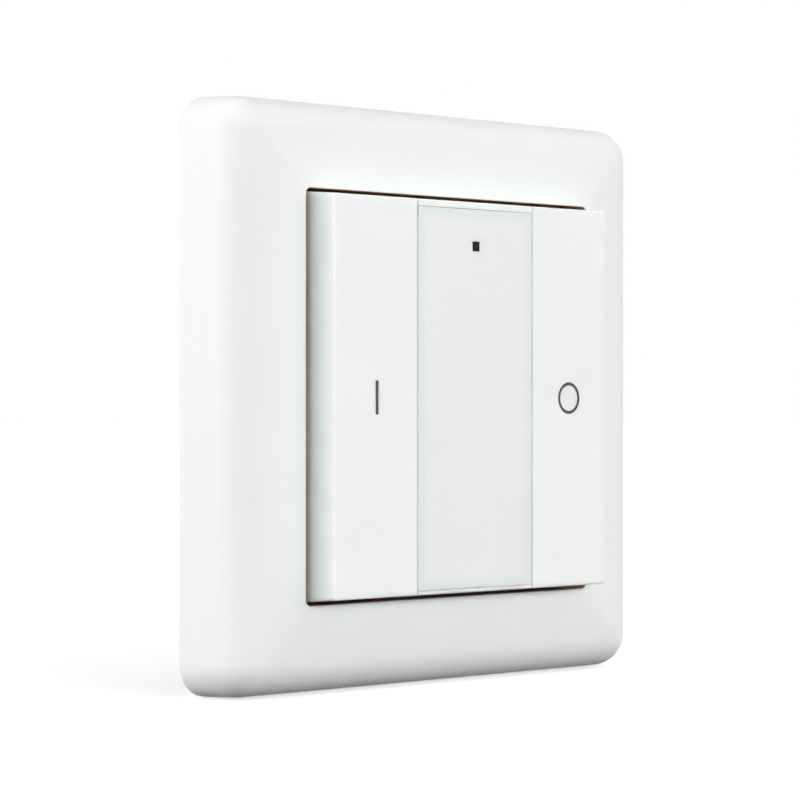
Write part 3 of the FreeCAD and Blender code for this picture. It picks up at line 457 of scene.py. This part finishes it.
@dataclass(frozen=True)
class TippedGuide(Finish):
    """Polycarbonate moulded in two shots: a milky stem with a smoked, polished tip."""

    tip_shade: str = "#101113"
    stem_shade: str = "#E9EBEA"
    tip_depth: float = 15.75
    tip_blend: float = 0.05
    roughness: float = 0.25
    ior: float = 1.58
    specular: float = 0.15

    def shader(self, tree: bpy.types.NodeTree) -> bpy.types.Node:
        """Parts stem and tip by the depth from the wall.

        Args:
            tree: the material's nodes.

        Returns:
            The shader that goes to the surface.
        """
        place = add_node(tree, "ShaderNodeTexCoord").outputs["Object"]
        axes = add_node(tree, "ShaderNodeSeparateXYZ", {0: place})
        start, end = -self.tip_depth * MM, -(self.tip_depth + self.tip_blend) * MM
        tip = add_node(tree, "ShaderNodeMapRange", {0: axes.outputs[1], 1: start, 2: end})
        shade = add_node(
            tree,
            "ShaderNodeMix",
            {0: tip.outputs[0], 6: linear(self.stem_shade), 7: linear(self.tip_shade)},
            data_type="RGBA",
        )
        return add_node(
            tree,
            "ShaderNodeBsdfPrincipled",
            {
                "Base Color": shade.outputs[2],
                "Roughness": self.roughness,
                "IOR": self.ior,
                "Specular IOR Level": self.specular,
            },
        )


@dataclass(frozen=True)
class Mottled(Finish):
    """A fine-textured skin, such as paper, ink, ceramic or lacquer: two shades in small patches.

    A patch is as wide as the clouds that the fibres or grains make, which are finer themselves.
    """

    shade: str
    second_shade: str
    patch: float
    detail: float = 4.0
    roughness: float = 0.6
    relief: float = 0.0015
    specular: float = 0.3

    def shader(self, tree: bpy.types.NodeTree) -> bpy.types.Node:
        """Lets one noise mix the shades and give the relief.

        Args:
            tree: the material's nodes.

        Returns:
            The shader that goes to the surface.
        """
        place = add_node(tree, "ShaderNodeTexCoord").outputs["Object"]
        patches = add_node(
            tree,
            "ShaderNodeTexNoise",
            {"Vector": place, "Scale": 1 / (self.patch * MM), "Detail": self.detail},
        )
        shade = add_node(
            tree,
            "ShaderNodeMix",
            {0: patches.outputs[0], 6: linear(self.shade), 7: linear(self.second_shade)},
            data_type="RGBA",
        )
        skin = add_node(
            tree,
            "ShaderNodeBump",
            {"Height": patches.outputs[0], "Distance": self.relief * MM, "Strength": 1.0},
        )
        return add_node(
            tree,
            "ShaderNodeBsdfPrincipled",
            {
                "Base Color": shade.outputs[2],
                "Roughness": self.roughness,
                "Specular IOR Level": self.specular,
                "Normal": skin.outputs[0],
            },
        )


@dataclass(frozen=True)
class PlatedMetal(Finish):
    """A stamped or turned metal, mostly plated: drawn lines in its gloss, slight change of shade.

    Real lines are about 0.03 mm apart, too fine to show, so they are drawn several times coarser.
    """

    shade: str
    dull_shade: str
    roughness: float = 0.32
    gloss_swing: float = 0.1
    line: float = 0.25
    line_detail: float = 3.0
    stretch: float = 12.0

    def shader(self, tree: bpy.types.NodeTree) -> bpy.types.Node:
        """Draws long lines with noise that is stretched along X.

        Args:
            tree: the material's nodes.

        Returns:
            The shader that goes to the surface.
        """
        place = add_node(tree, "ShaderNodeTexCoord").outputs["Object"]
        drawn = add_node(
            tree, "ShaderNodeMapping", {"Vector": place, "Scale": (1 / self.stretch, 1.0, 1.0)}
        )
        lines = add_node(
            tree,
            "ShaderNodeTexNoise",
            {"Vector": drawn.outputs[0], "Scale": 1 / (self.line * MM), "Detail": self.line_detail},
        )
        shade = add_node(
            tree,
            "ShaderNodeMix",
            {0: lines.outputs[0], 6: linear(self.shade), 7: linear(self.dull_shade)},
            data_type="RGBA",
        )
        gloss = add_node(
            tree,
            "ShaderNodeMapRange",
            {
                0: lines.outputs[0],
                3: self.roughness - self.gloss_swing,
                4: self.roughness + self.gloss_swing,
            },
        )
        return add_node(
            tree,
            "ShaderNodeBsdfPrincipled",
            {"Base Color": shade.outputs[2], "Metallic": 1.0, "Roughness": gloss.outputs[0]},
        )


@dataclass(frozen=True)
class FloorPaint(Finish):
    """Matt paint: white to the eye, with the object's shadow, while it throws little light back."""

    shade: str
    bounce_shade: str
    glow: float

    def shader(self, tree: bpy.types.NodeTree) -> bpy.types.Node:
        """Parts what the eye sees of the floor from the light that the object gets from it.

        Args:
            tree: the material's nodes.

        Returns:
            The shader that goes to the surface.
        """
        seen = seen_directly(tree)
        colour = add_node(
            tree,
            "ShaderNodeMix",
            {0: seen, 6: linear(self.bounce_shade), 7: linear(self.shade)},
            data_type="RGBA",
        )
        paint = add_node(tree, "ShaderNodeBsdfDiffuse", {"Color": colour.outputs[2]})
        lift = add_node(tree, "ShaderNodeMath", {0: seen, 1: self.glow}, operation="MULTIPLY")
        glow = add_node(tree, "ShaderNodeEmission", {"Strength": lift.outputs[0]})
        return add_node(tree, "ShaderNodeAddShader", {0: paint.outputs[0], 1: glow.outputs[0]})


# White polycarbonate, satin moulded: soft even sheen, no mirror image, a cool white.
FRAME_WHITE = MouldedPlastic(
    "polycarbonate_frame_white", "#ECEFEE", "#EAECEB", specular=0.2, scatter=0.5
)
# The same resin in the keys' finer tool: more neutral. Painted shade makes it cooler down its thin
# skirt and warm at its root, in the gap.
KEY_WHITE = MouldedPlastic(
    "polycarbonate_key_white",
    "#F3F4F3",
    "#F1F2F1",
    grain=0.22,
    scatter=1.0,
    scatter_depth=1.2,
    skirt_painted_shade="#ECF4F1",
    root_painted_shade="#DED6C6",
)
# Painted warm shade on the wall of the frame's opening, standing in for light warmed by the resin.
GAP_PAINTED_WARM_SHADE = MouldedPlastic("polycarbonate_gap_painted_warm_shade", "#CF9A6E", "#C79266", roughness=0.6)
# Dark warm moulded ABS: its colour paints shade into the gaps, so they read as thin dark lines.
CHASSIS_DARK_GAP_SHADE = MouldedPlastic("abs_chassis_dark_gap_shade", "#54483F", "#4D423A", roughness=0.6, grain=0.5)
# Black glass-filled nylon, moulded: dull and slightly rough.
SWITCH_BLACK = MouldedPlastic("nylon_switch_black", "#2B2B2C", "#242425", roughness=0.65, grain=0.2)
# Two-shot polycarbonate: only the tip is smoked, so the pane shows one small dark square.
GUIDE_TIPPED = TippedGuide("polycarbonate_smoked_tip")
# Uncoated paper, cut: dull, with fibres that cloud its white a little.
LABEL_PAPER = Mottled(
    "uncoated_paper_cut", "#EFEFEE", "#EBEBEA", patch=0.6, roughness=0.9, specular=0.1
)
# Pad-printed ink: a dull dark grey that is a little thinner in places.
SIGN_INK = Mottled("pad_printed_ink", "#454648", "#505153", patch=0.35, roughness=0.55)
# Solder mask over glass laminate: green lacquer with the weave faintly below it.
BOARD_MASK = Mottled(
    "solder_mask_laminate", "#1F6B40", "#1A5E38", patch=0.5, roughness=0.35, relief=0.004
)
# Fired ceramic: dull tan with fine grain.
CHIP_CERAMIC = Mottled("fired_ceramic", "#B59A7C", "#A68B6E", patch=0.12)
# Cast epoxy: milky and smooth.
LAMP_EPOXY = Mottled("cast_epoxy_milky", "#EDEDE0", "#E4E4D6", patch=0.4, roughness=0.3)
# Zinc-plated steel, rolled thread and pressed head: bluish bright.
SCREW_ZINC = PlatedMetal("zinc_plated_steel", "#C9CBCD", "#B4B7BA")
# Nickel-plated steel, deep drawn: bright with a fine drawn grain.
CELL_NICKEL = PlatedMetal("nickel_plated_steel", "#D9D8D4", "#C8C6C1", roughness=0.25)
# Tinned bronze, stamped: softer and greyer.
CONTACT_TIN = PlatedMetal("tinned_bronze", "#D6D4CE", "#C2C0BA", roughness=0.38)
# Bare copper strip, rolled: warm and bright.
ANTENNA_COPPER = PlatedMetal("rolled_copper", "#DB9A78", "#C98866", roughness=0.3)
# Matt emulsion paint, rolled: an even white without gloss.
FLOOR_WHITE = FloorPaint("matt_floor_paint", "#E6E6E6", bounce_shade="#262626", glow=0.6)


@dataclass(frozen=True)
class RingPoint:
    """One closed line round the frame: how far out, how deep, and how its corners turn."""

    half: float
    depth: float
    corner: float
    tilt: float = 90.0


@dataclass
class CoverFrame:
    """The square cover: drafted sides, round edges, a crowned front and a collar at its opening."""

    width: float = 80.0
    depth: float = 11.6
    draft: float = 2.6
    edge_radius: float = 5.0
    crown_radius: float = 54.0
    corner_radius: float = 4.6
    wall: float = 2.4
    front_wall: float = 2.6
    opening: float = 55.6
    opening_corner: float = 0.9
    rim_radius: float = 0.2
    crown_stop: float = 0.8
    crown_overlap: float = 1.0
    collar_wall: float = 2.0
    collar_rear: float = 5.0
    collar_corner: float = 0.3
    catch_reach: float = 0.6
    catch_height: float = 0.8
    catch_length: float = 7.0
    catch_spread: float = 32.0
    catch_root: float = 0.1
    corner_steps: int = 14
    edge_steps: int = 20
    crown_steps: int = 12
    rim_steps: int = 5
    settle_rounds: int = 30

    def edge_centre(self) -> tuple[float, float]:
        """Finds the edge arc's centre, tangent to the drafted side and inside the crown's arc.

        Returns:
            Its distance from the middle and its depth.
        """
        lean = math.radians(self.draft)
        crown_half = self.opening / 2 - self.crown_overlap
        crown_depth = self.depth - self.crown_radius
        reach = self.crown_radius - self.edge_radius
        side = self.width / 2 - self.edge_radius / math.cos(lean)
        depth = self.depth - self.edge_radius
        for _ in range(self.settle_rounds):
            across = side - depth * math.tan(lean) - crown_half
            depth = crown_depth + math.sqrt(reach ** 2 - across ** 2)
        return side - depth * math.tan(lean), depth

    def outside(self) -> list[RingPoint]:
        """Lists the rings from the rear rim over the side and the crown to the opening's rim.

        Returns:
            The rings in order.
        """
        across, deep = self.edge_centre()
        crown_half = self.opening / 2 - self.crown_overlap
        crown_depth = self.depth - self.crown_radius
        reach = self.crown_radius - self.edge_radius
        crown_end = math.degrees(math.asin((across - crown_half) / reach))
        rings = [RingPoint(self.width / 2, 0.0, self.corner_radius)]
        for step in range(self.edge_steps + 1):
            tilt = 90 - self.draft + (crown_end - 90 + self.draft) * step / self.edge_steps
            turn = math.radians(tilt)
            rings.append(
                RingPoint(
                    across + self.edge_radius * math.sin(turn),
                    deep + self.edge_radius * math.cos(turn),
                    self.corner_radius,
                    tilt,
                )
            )
        rim_half = self.opening / 2 + self.rim_radius
        stop_half = rim_half + self.crown_stop
        rim_tilt = math.degrees(math.asin((stop_half - crown_half) / self.crown_radius))
        for step in range(1, self.crown_steps + 1):
            tilt = crown_end + (rim_tilt - crown_end) * step / self.crown_steps
            turn = math.radians(tilt)
            rings.append(
                RingPoint(
                    crown_half + self.crown_radius * math.sin(turn),
                    crown_depth + self.crown_radius * math.cos(turn),
                    self.corner_radius,
                    tilt,
                )
            )
        front = self.depth - (rim_half - crown_half) ** 2 / (2 * self.crown_radius)
        for step in range(self.rim_steps + 1):
            turn = math.pi / 2 * step / self.rim_steps
            half = rim_half - self.rim_radius * math.sin(turn)
            inset = half - self.opening / 2
            depth = front - self.rim_radius * (1 - math.cos(turn))
            rings.append(RingPoint(half, depth, self.opening_corner + inset))
        return rings

    def inside(self) -> list[RingPoint]:
        """Lists the rings down the opening, round the collar and through the cavity to the rear.

        Returns:
            The rings in order.
        """
        collar = self.opening / 2 + self.collar_wall
        cavity = self.width / 2 - self.wall
        front = self.depth - self.front_wall
        bevel = self.edge_radius - self.wall
        return [
            RingPoint(self.opening / 2, self.collar_rear, self.opening_corner),
            RingPoint(collar, self.collar_rear, self.collar_corner),
            RingPoint(collar, front, self.collar_corner),
            RingPoint(cavity - bevel, front, bevel / 2),
            RingPoint(cavity, front - bevel, bevel),
            RingPoint(cavity, 0.0, bevel),
        ]

    def ring(self, point: RingPoint) -> list[Point]:
        """Lays out one ring: at each corner a ball rolls from one side to the next.

        Args:
            point: the ring's place.

        Returns:
            The ring's points in order, in metres.
        """
        tilt = math.radians(point.tilt)
        out, forward = math.sin(tilt), math.cos(tilt)
        centre = point.half - point.corner * out
        centre_depth = point.depth - point.corner * forward
        sweep = math.acos(forward * forward)
        places: list[Point] = []
        for quarter in range(4):
            turn = quarter * math.pi / 2
            for step in range(self.corner_steps + 1):
                share = step / self.corner_steps
                first = math.sin((1 - share) * sweep) / math.sin(sweep)
                second = math.sin(share * sweep) / math.sin(sweep)
                across = centre + point.corner * out * first
                up = centre + point.corner * out * second
                depth = centre_depth + point.corner * forward * (first + second)
                x = across * math.cos(turn) - up * math.sin(turn)
                z = across * math.sin(turn) + up * math.cos(turn)
                places.append((x * MM, -depth * MM, z * MM))
        return places

    def add_catches(self, mesh: bmesh.types.BMesh) -> None:
        """Adds the four ledges on the collar that the wall plate's hooks hold.

        Args:
            mesh: the frame's mesh.
        """
        collar = self.opening / 2 + self.collar_wall
        low, high = self.collar_rear, self.collar_rear + self.catch_height
        for side in (-1, 1):
            for level in (-1, 1):
                corners = []
                for x in (collar - self.catch_root, collar + self.catch_reach):
                    for depth in (low, high):
                        for end in (-0.5, 0.5):
                            z = level * self.catch_spread / 2 + end * self.catch_length
                            corners.append(mesh.verts.new((side * x * MM, -depth * MM, z * MM)))
                bmesh.ops.convex_hull(mesh, input=corners)

    def build(self) -> None:
        """Builds the frame in place of its solid, which has the same sections with fewer facets."""
        outside = self.outside()
        mesh = bmesh.new()
        loft(mesh, [self.ring(point) for point in outside + self.inside()])
        self.add_catches(mesh)
        piece = new_piece("cover_frame_skin", mesh)
        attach(piece, "housing")
        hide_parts("cover_frame")
        FRAME_WHITE.dress(piece)
        # The second material paints a warm shade on the opening's wall.
        piece.data.materials.append(GAP_PAINTED_WARM_SHADE.material())
        # The opening's wall lies between the last ring of the outside and the first of the inside.
        around = 4 * (self.corner_steps + 1)
        opening_wall = around * (len(outside) - 1)
        for face in piece.data.polygons[opening_wall:opening_wall + around]:
            face.material_index = 1


class Side(Enum):
    """The two keys, by the sign of X on their side."""

    LEFT = -1
    RIGHT = 1

    @property
    def key(self) -> str:
        """The key's node, which is also its body."""
        return f"{self.name.lower()}_key"


class Sign(Enum):
    """The generic signs that the keys carry."""

    ON = "on"
    OFF = "off"


@dataclass
class RockerKey:
    """One of the two keys with its printed sign: an upright stroke for on, a ring for off."""

    side: Side
    sign: Sign
    sign_across: float = 19.05
    sign_height: float = -0.1
    film: float = 0.012
    stroke_width: float = 0.5
    stroke_height: float = 4.55
    stroke_corner: float = 0.075
    ring_radius: float = 2.25
    ring_width: float = 0.42
    ring_steps: int = 72
    corner_steps: int = 3

    def on_face(self, line: list[tuple[float, float]], rise: float) -> list[Point]:
        """Lays a line of the sign over the key's front face.

        Args:
            line: points to the right of and above the sign's middle.
            rise: height over the face.

        Returns:
            The points in metres.
        """
        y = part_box(self.side.key)[0].y - rise * MM
        across = self.side.value * self.sign_across
        return [((across + x) * MM, y, (self.sign_height + z) * MM) for x, z in line]

    def stroke(self) -> list[tuple[float, float]]:
        """Gives the upright stroke's outline with its small round corners.

        Returns:
            Points to the right of and above the stroke's middle.
        """
        half = self.stroke_width / 2 - self.stroke_corner
        tall = self.stroke_height / 2 - self.stroke_corner
        places = []
        for quarter, (x, z) in enumerate(((1, 1), (-1, 1), (-1, -1), (1, -1))):
            for step in range(self.corner_steps + 1):
                turn = math.pi / 2 * (quarter + step / self.corner_steps)
                places.append(
                    (
                        x * half + self.stroke_corner * math.cos(turn),
                        z * tall + self.stroke_corner * math.sin(turn),
                    )
                )
        return places

    def circle(self, radius: float) -> list[tuple[float, float]]:
        """Gives a circle of the ring's outline."""
        turns = [2 * math.pi * step / self.ring_steps for step in range(self.ring_steps)]
        return [(radius * math.cos(turn), radius * math.sin(turn)) for turn in turns]

    def sign_mesh(self) -> bmesh.types.BMesh:
        """Builds the ink film, half of it in the key's face and half over it.

        Returns:
            The film's mesh.
        """
        mesh = bmesh.new()
        if self.sign is Sign.ON:
            lines = [(self.stroke(), -self.film), (self.stroke(), self.film)]
        else:
            outer = self.circle(self.ring_radius)
            inner = self.circle(self.ring_radius - self.ring_width)
            lines = [
                (outer, -self.film),
                (outer, self.film),
                (inner, self.film),
                (inner, -self.film),
            ]
        loft(mesh, [self.on_face(line, rise) for line, rise in lines], capped=self.sign is Sign.ON)
        return mesh

    def build(self, solids: Solids) -> None:
        """Dresses the key and lays its sign on it.

        Args:
            solids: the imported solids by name.
        """
        KEY_WHITE.dress_solid(solids[self.side.key])
        piece = new_piece(f"{self.sign.value}_sign", self.sign_mesh())
        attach(piece, self.side.key)
        SIGN_INK.dress(piece)


@dataclass
class LabelStrip:
    """The bar between the keys: paper under a milky pane, with a light guide in the pane's hole."""

    pane_lift: float = 0.02
    pane_edge_radius: float = 0.06
    pane_edge_steps: int = 4
    guide_hole: float = 1.4
    finishes: dict[str, Finish] = field(
        default_factory=lambda: {
            "label_bar": KEY_WHITE,
            "label_sheet": LABEL_PAPER,
            "light_guide": GUIDE_TIPPED,
        }
    )

    def outline(self, low: Vector, high: Vector, inset: float, y: float) -> list[Point]:
        """Gives an upright rectangle between two corners, drawn in on all sides.

        Args:
            low: the lowest corner, in metres.
            high: the highest corner, in metres.
            inset: how far it is drawn in, in metres.
            y: the plane that it lies in, in metres.

        Returns:
            Its four corners in order.
        """
        left, right = low.x + inset, high.x - inset
        below, above = low.z + inset, high.z - inset
        return [(left, y, below), (right, y, below), (right, y, above), (left, y, above)]

    def pane(self) -> bpy.types.Object:
        """Builds the pane in place of its solid, a hair clear of the paper to keep both clean.

        Returns:
            The pane with its rounded rim and the light guide's hole.
        """
        low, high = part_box("label_window")
        guide_low, guide_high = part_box("light_guide")
        guide_middle = (guide_low + guide_high) / 2
        hole_room = Vector((self.guide_hole / 2, 0.0, self.guide_hole / 2)) * MM
        rear = high.y - self.pane_lift * MM
        radius = self.pane_edge_radius * MM
        rings = [self.outline(low, high, 0.0, rear)]
        for step in range(self.pane_edge_steps + 1):
            turn = math.pi / 2 * step / self.pane_edge_steps
            y = low.y + radius * (1 - math.sin(turn))
            rings.append(self.outline(low, high, radius * (1 - math.cos(turn)), y))
        for y in (low.y, rear):
            rings.append(self.outline(guide_middle - hole_room, guide_middle + hole_room, 0.0, y))
        mesh = bmesh.new()
        loft(mesh, rings)
        return new_piece("label_pane", mesh)

    def build(self, solids: Solids) -> None:
        """Dresses bar, paper and guide, and lays the pane over them.

        Args:
            solids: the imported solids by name.
        """
        for name, finish in self.finishes.items():
            finish.dress_solid(solids[name])
        piece = self.pane()
        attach(piece, "housing")
        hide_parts("label_window")
        low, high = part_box("label_window")
        # Milky acrylic: an even, soft gloss in which neither the paper's edge nor any depth shows.
        MilkyPane("milky_acrylic_moulded", high.x / MM, high.z / MM, low.z / MM).dress(piece)


@dataclass
class WallPlate:
    """The plate on the wall, with its hooks and latches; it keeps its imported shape."""

    finish: Finish = CHASSIS_DARK_GAP_SHADE

    def build(self, solids: Solids) -> None:
        """Dresses the plate."""
        self.finish.dress_solid(solids["mounting_plate"])


@dataclass
class RadioModule:
    """The flat radio module behind the keys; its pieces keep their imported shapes."""

    finishes: dict[str, Finish] = field(
        default_factory=lambda: {
            "module_base": CHASSIS_DARK_GAP_SHADE,
            "module_carrier": CHASSIS_DARK_GAP_SHADE,
            "module_screws": SCREW_ZINC,
            "circuit_board": BOARD_MASK,
            "coin_cell": CELL_NICKEL,
            "battery_clip": CONTACT_TIN,
            "battery_contact": CONTACT_TIN,
            "status_led": LAMP_EPOXY,
            "radio_shield": CONTACT_TIN,
            "crystal": CONTACT_TIN,
            "chip_capacitors": CHIP_CERAMIC,
            "antenna": ANTENNA_COPPER,
        }
    )
    switch_finishes: dict[str, Finish] = field(
        default_factory=lambda: {
            "switch": SWITCH_BLACK,
            "switch_cover": CONTACT_TIN,
            "plunger": SWITCH_BLACK,
        }
    )

    def build(self, solids: Solids) -> None:
        """Dresses the module's pieces and the two tactile switches.

        Args:
            solids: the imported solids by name.
        """
        for name, finish in self.finishes.items():
            finish.dress_solid(solids[name])
        for side in Side:
            for word, finish in self.switch_finishes.items():
                finish.dress_solid(solids[f"{side.name.lower()}_{word}"])


@dataclass(frozen=True)
class SoftBox:
    """A soft light: where it hangs, how strong it is and how far it reaches to the sides and up."""

    azimuth: float
    elevation: float
    strength: float
    width: float = 20.0
    height: float = 20.0

    def glow(self, tree: bpy.types.NodeTree, toward: bpy.types.NodeSocket) -> bpy.types.NodeSocket:
        """Adds the light to the world: full in its middle, fading softly over its width and height.

        Args:
            tree: the world's nodes.
            toward: the direction that a ray leaves in.

        Returns:
            The light's strength in that direction.
        """
        middle = direction(self.azimuth, self.elevation)
        across, upright = 1 / math.radians(self.width), 1 / math.radians(self.height)
        away = add_node(tree, "ShaderNodeVectorMath", {0: toward, 1: middle}, operation="SUBTRACT")
        share = add_node(
            tree,
            "ShaderNodeVectorMath",
            {0: away.outputs[0], 1: (across, across, upright)},
            operation="MULTIPLY",
        )
        reach = add_node(tree, "ShaderNodeVectorMath", {0: share.outputs[0]}, operation="LENGTH")
        square = add_node(
            tree, "ShaderNodeMath", {0: reach.outputs["Value"], 1: 2.0}, operation="POWER"
        )
        faded = add_node(
            tree, "ShaderNodeMath", {0: math.exp(-1), 1: square.outputs[0]}, operation="POWER"
        )
        return add_node(
            tree, "ShaderNodeMath", {0: faded.outputs[0], 1: self.strength}, operation="MULTIPLY"
        ).outputs[0]


@dataclass
class Studio:
    """A white floor under the object, a few soft lights and a camera to the left of the front."""

    floor_drop: float = 40.05
    floor_radius: float = 6000.0
    floor_segments: int = 64
    floor_paint: Finish = FLOOR_WHITE
    lights: tuple[SoftBox, ...] = (
        # A low, long light before the front, in three parts, and a faint one above it.
        SoftBox(0.0, 13.5, 15.0, height=5.5),
        SoftBox(30.0, 13.5, 6.0, height=5.5),
        SoftBox(330.0, 13.5, 5.4, height=5.5),
        SoftBox(0.0, 30.0, 0.8),
        # The left side's light, with a narrow part that grazes the keys' skirts.
        SoftBox(238.0, 2.0, 10.8),
        SoftBox(256.0, 4.0, 8.6, width=10.0),
        # Light for the top, and for the right side and the back.
        SoftBox(30.0, 70.0, 1.65),
        SoftBox(135.0, 8.0, 9.0, height=8.0),
    )
    azimuth: float = -45.584
    elevation: float = -0.186
    distance: float = 414.79
    aim_depth: float = 11.6
    focal_pixels: float = 2979.4
    aim_right: float = 53.34
    aim_down: float = -2.83
    near_clip: float = 10.0

    def light(self) -> None:
        """Hangs the soft lights in the world, which itself looks white."""
        world = bpy.data.worlds.new("soft_room")
        bpy.context.scene.world = world
        world.use_nodes = True
        tree = world.node_tree
        tree.nodes.clear()
        toward = add_node(tree, "ShaderNodeTexCoord").outputs["Generated"]
        strength = self.lights[0].glow(tree, toward)
        for box in self.lights[1:]:
            strength = add_node(
                tree, "ShaderNodeMath", {0: strength, 1: box.glow(tree, toward)}, operation="ADD"
            ).outputs[0]
        white = linear(WHITE)
        glow = add_node(tree, "ShaderNodeBackground", {"Color": white, "Strength": strength})
        backdrop = add_node(tree, "ShaderNodeBackground", {"Color": white, "Strength": 1.0})
        mixed = add_node(
            tree,
            "ShaderNodeMixShader",
            {0: seen_directly(tree), 1: glow.outputs[0], 2: backdrop.outputs[0]},
        )
        add_node(tree, "ShaderNodeOutputWorld", {"Surface": mixed.outputs[0]})

    def floor(self) -> None:
        """Lays the floor that the object stands on."""
        mesh = bmesh.new()
        bmesh.ops.create_circle(
            mesh, cap_ends=True, segments=self.floor_segments, radius=self.floor_radius * MM
        )
        bmesh.ops.translate(mesh, verts=mesh.verts, vec=(0.0, 0.0, -self.floor_drop * MM))
        piece = new_piece("studio_floor", mesh)
        self.floor_paint.dress(piece)

    def camera(self) -> None:
        """Sets the camera at the photograph's angle, distance and framing."""
        back = direction(self.azimuth, self.elevation)
        aim = Vector((0.0, -self.aim_depth * MM, 0.0))
        data = bpy.data.cameras.new("camera")
        data.lens = self.focal_pixels / IMAGE_WIDTH * data.sensor_width
        data.shift_x = -self.aim_right / IMAGE_WIDTH
        data.shift_y = self.aim_down / IMAGE_WIDTH
        data.clip_start = self.near_clip * MM
        camera = bpy.data.objects.new("camera", data)
        camera.location = aim + back * self.distance * MM
        camera.rotation_euler = (-back).to_track_quat("-Z", "Y").to_euler()
        bpy.context.scene.collection.objects.link(camera)
        bpy.context.scene.camera = camera

    def build(self) -> None:
        """Sets up light, floor, camera and the plain view transform."""
        self.light()
        self.floor()
        self.camera()
        bpy.context.scene.view_settings.view_transform = "Standard"


def main() -> None:
    """Loads the solids, dresses them, adds the pieces that are made here and sets up the studio."""
    logging.basicConfig(level=logging.INFO, format="%(name)s: %(message)s")
    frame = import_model()
    CoverFrame().build()
    RockerKey(Side.LEFT, Sign.ON).build(frame["nodes"])
    RockerKey(Side.RIGHT, Sign.OFF).build(frame["nodes"])
    LabelStrip().build(frame["nodes"])
    RadioModule().build(frame["nodes"])
    WallPlate().build(frame["nodes"])
    Studio().build()


if __name__ == "__main__":
    main()
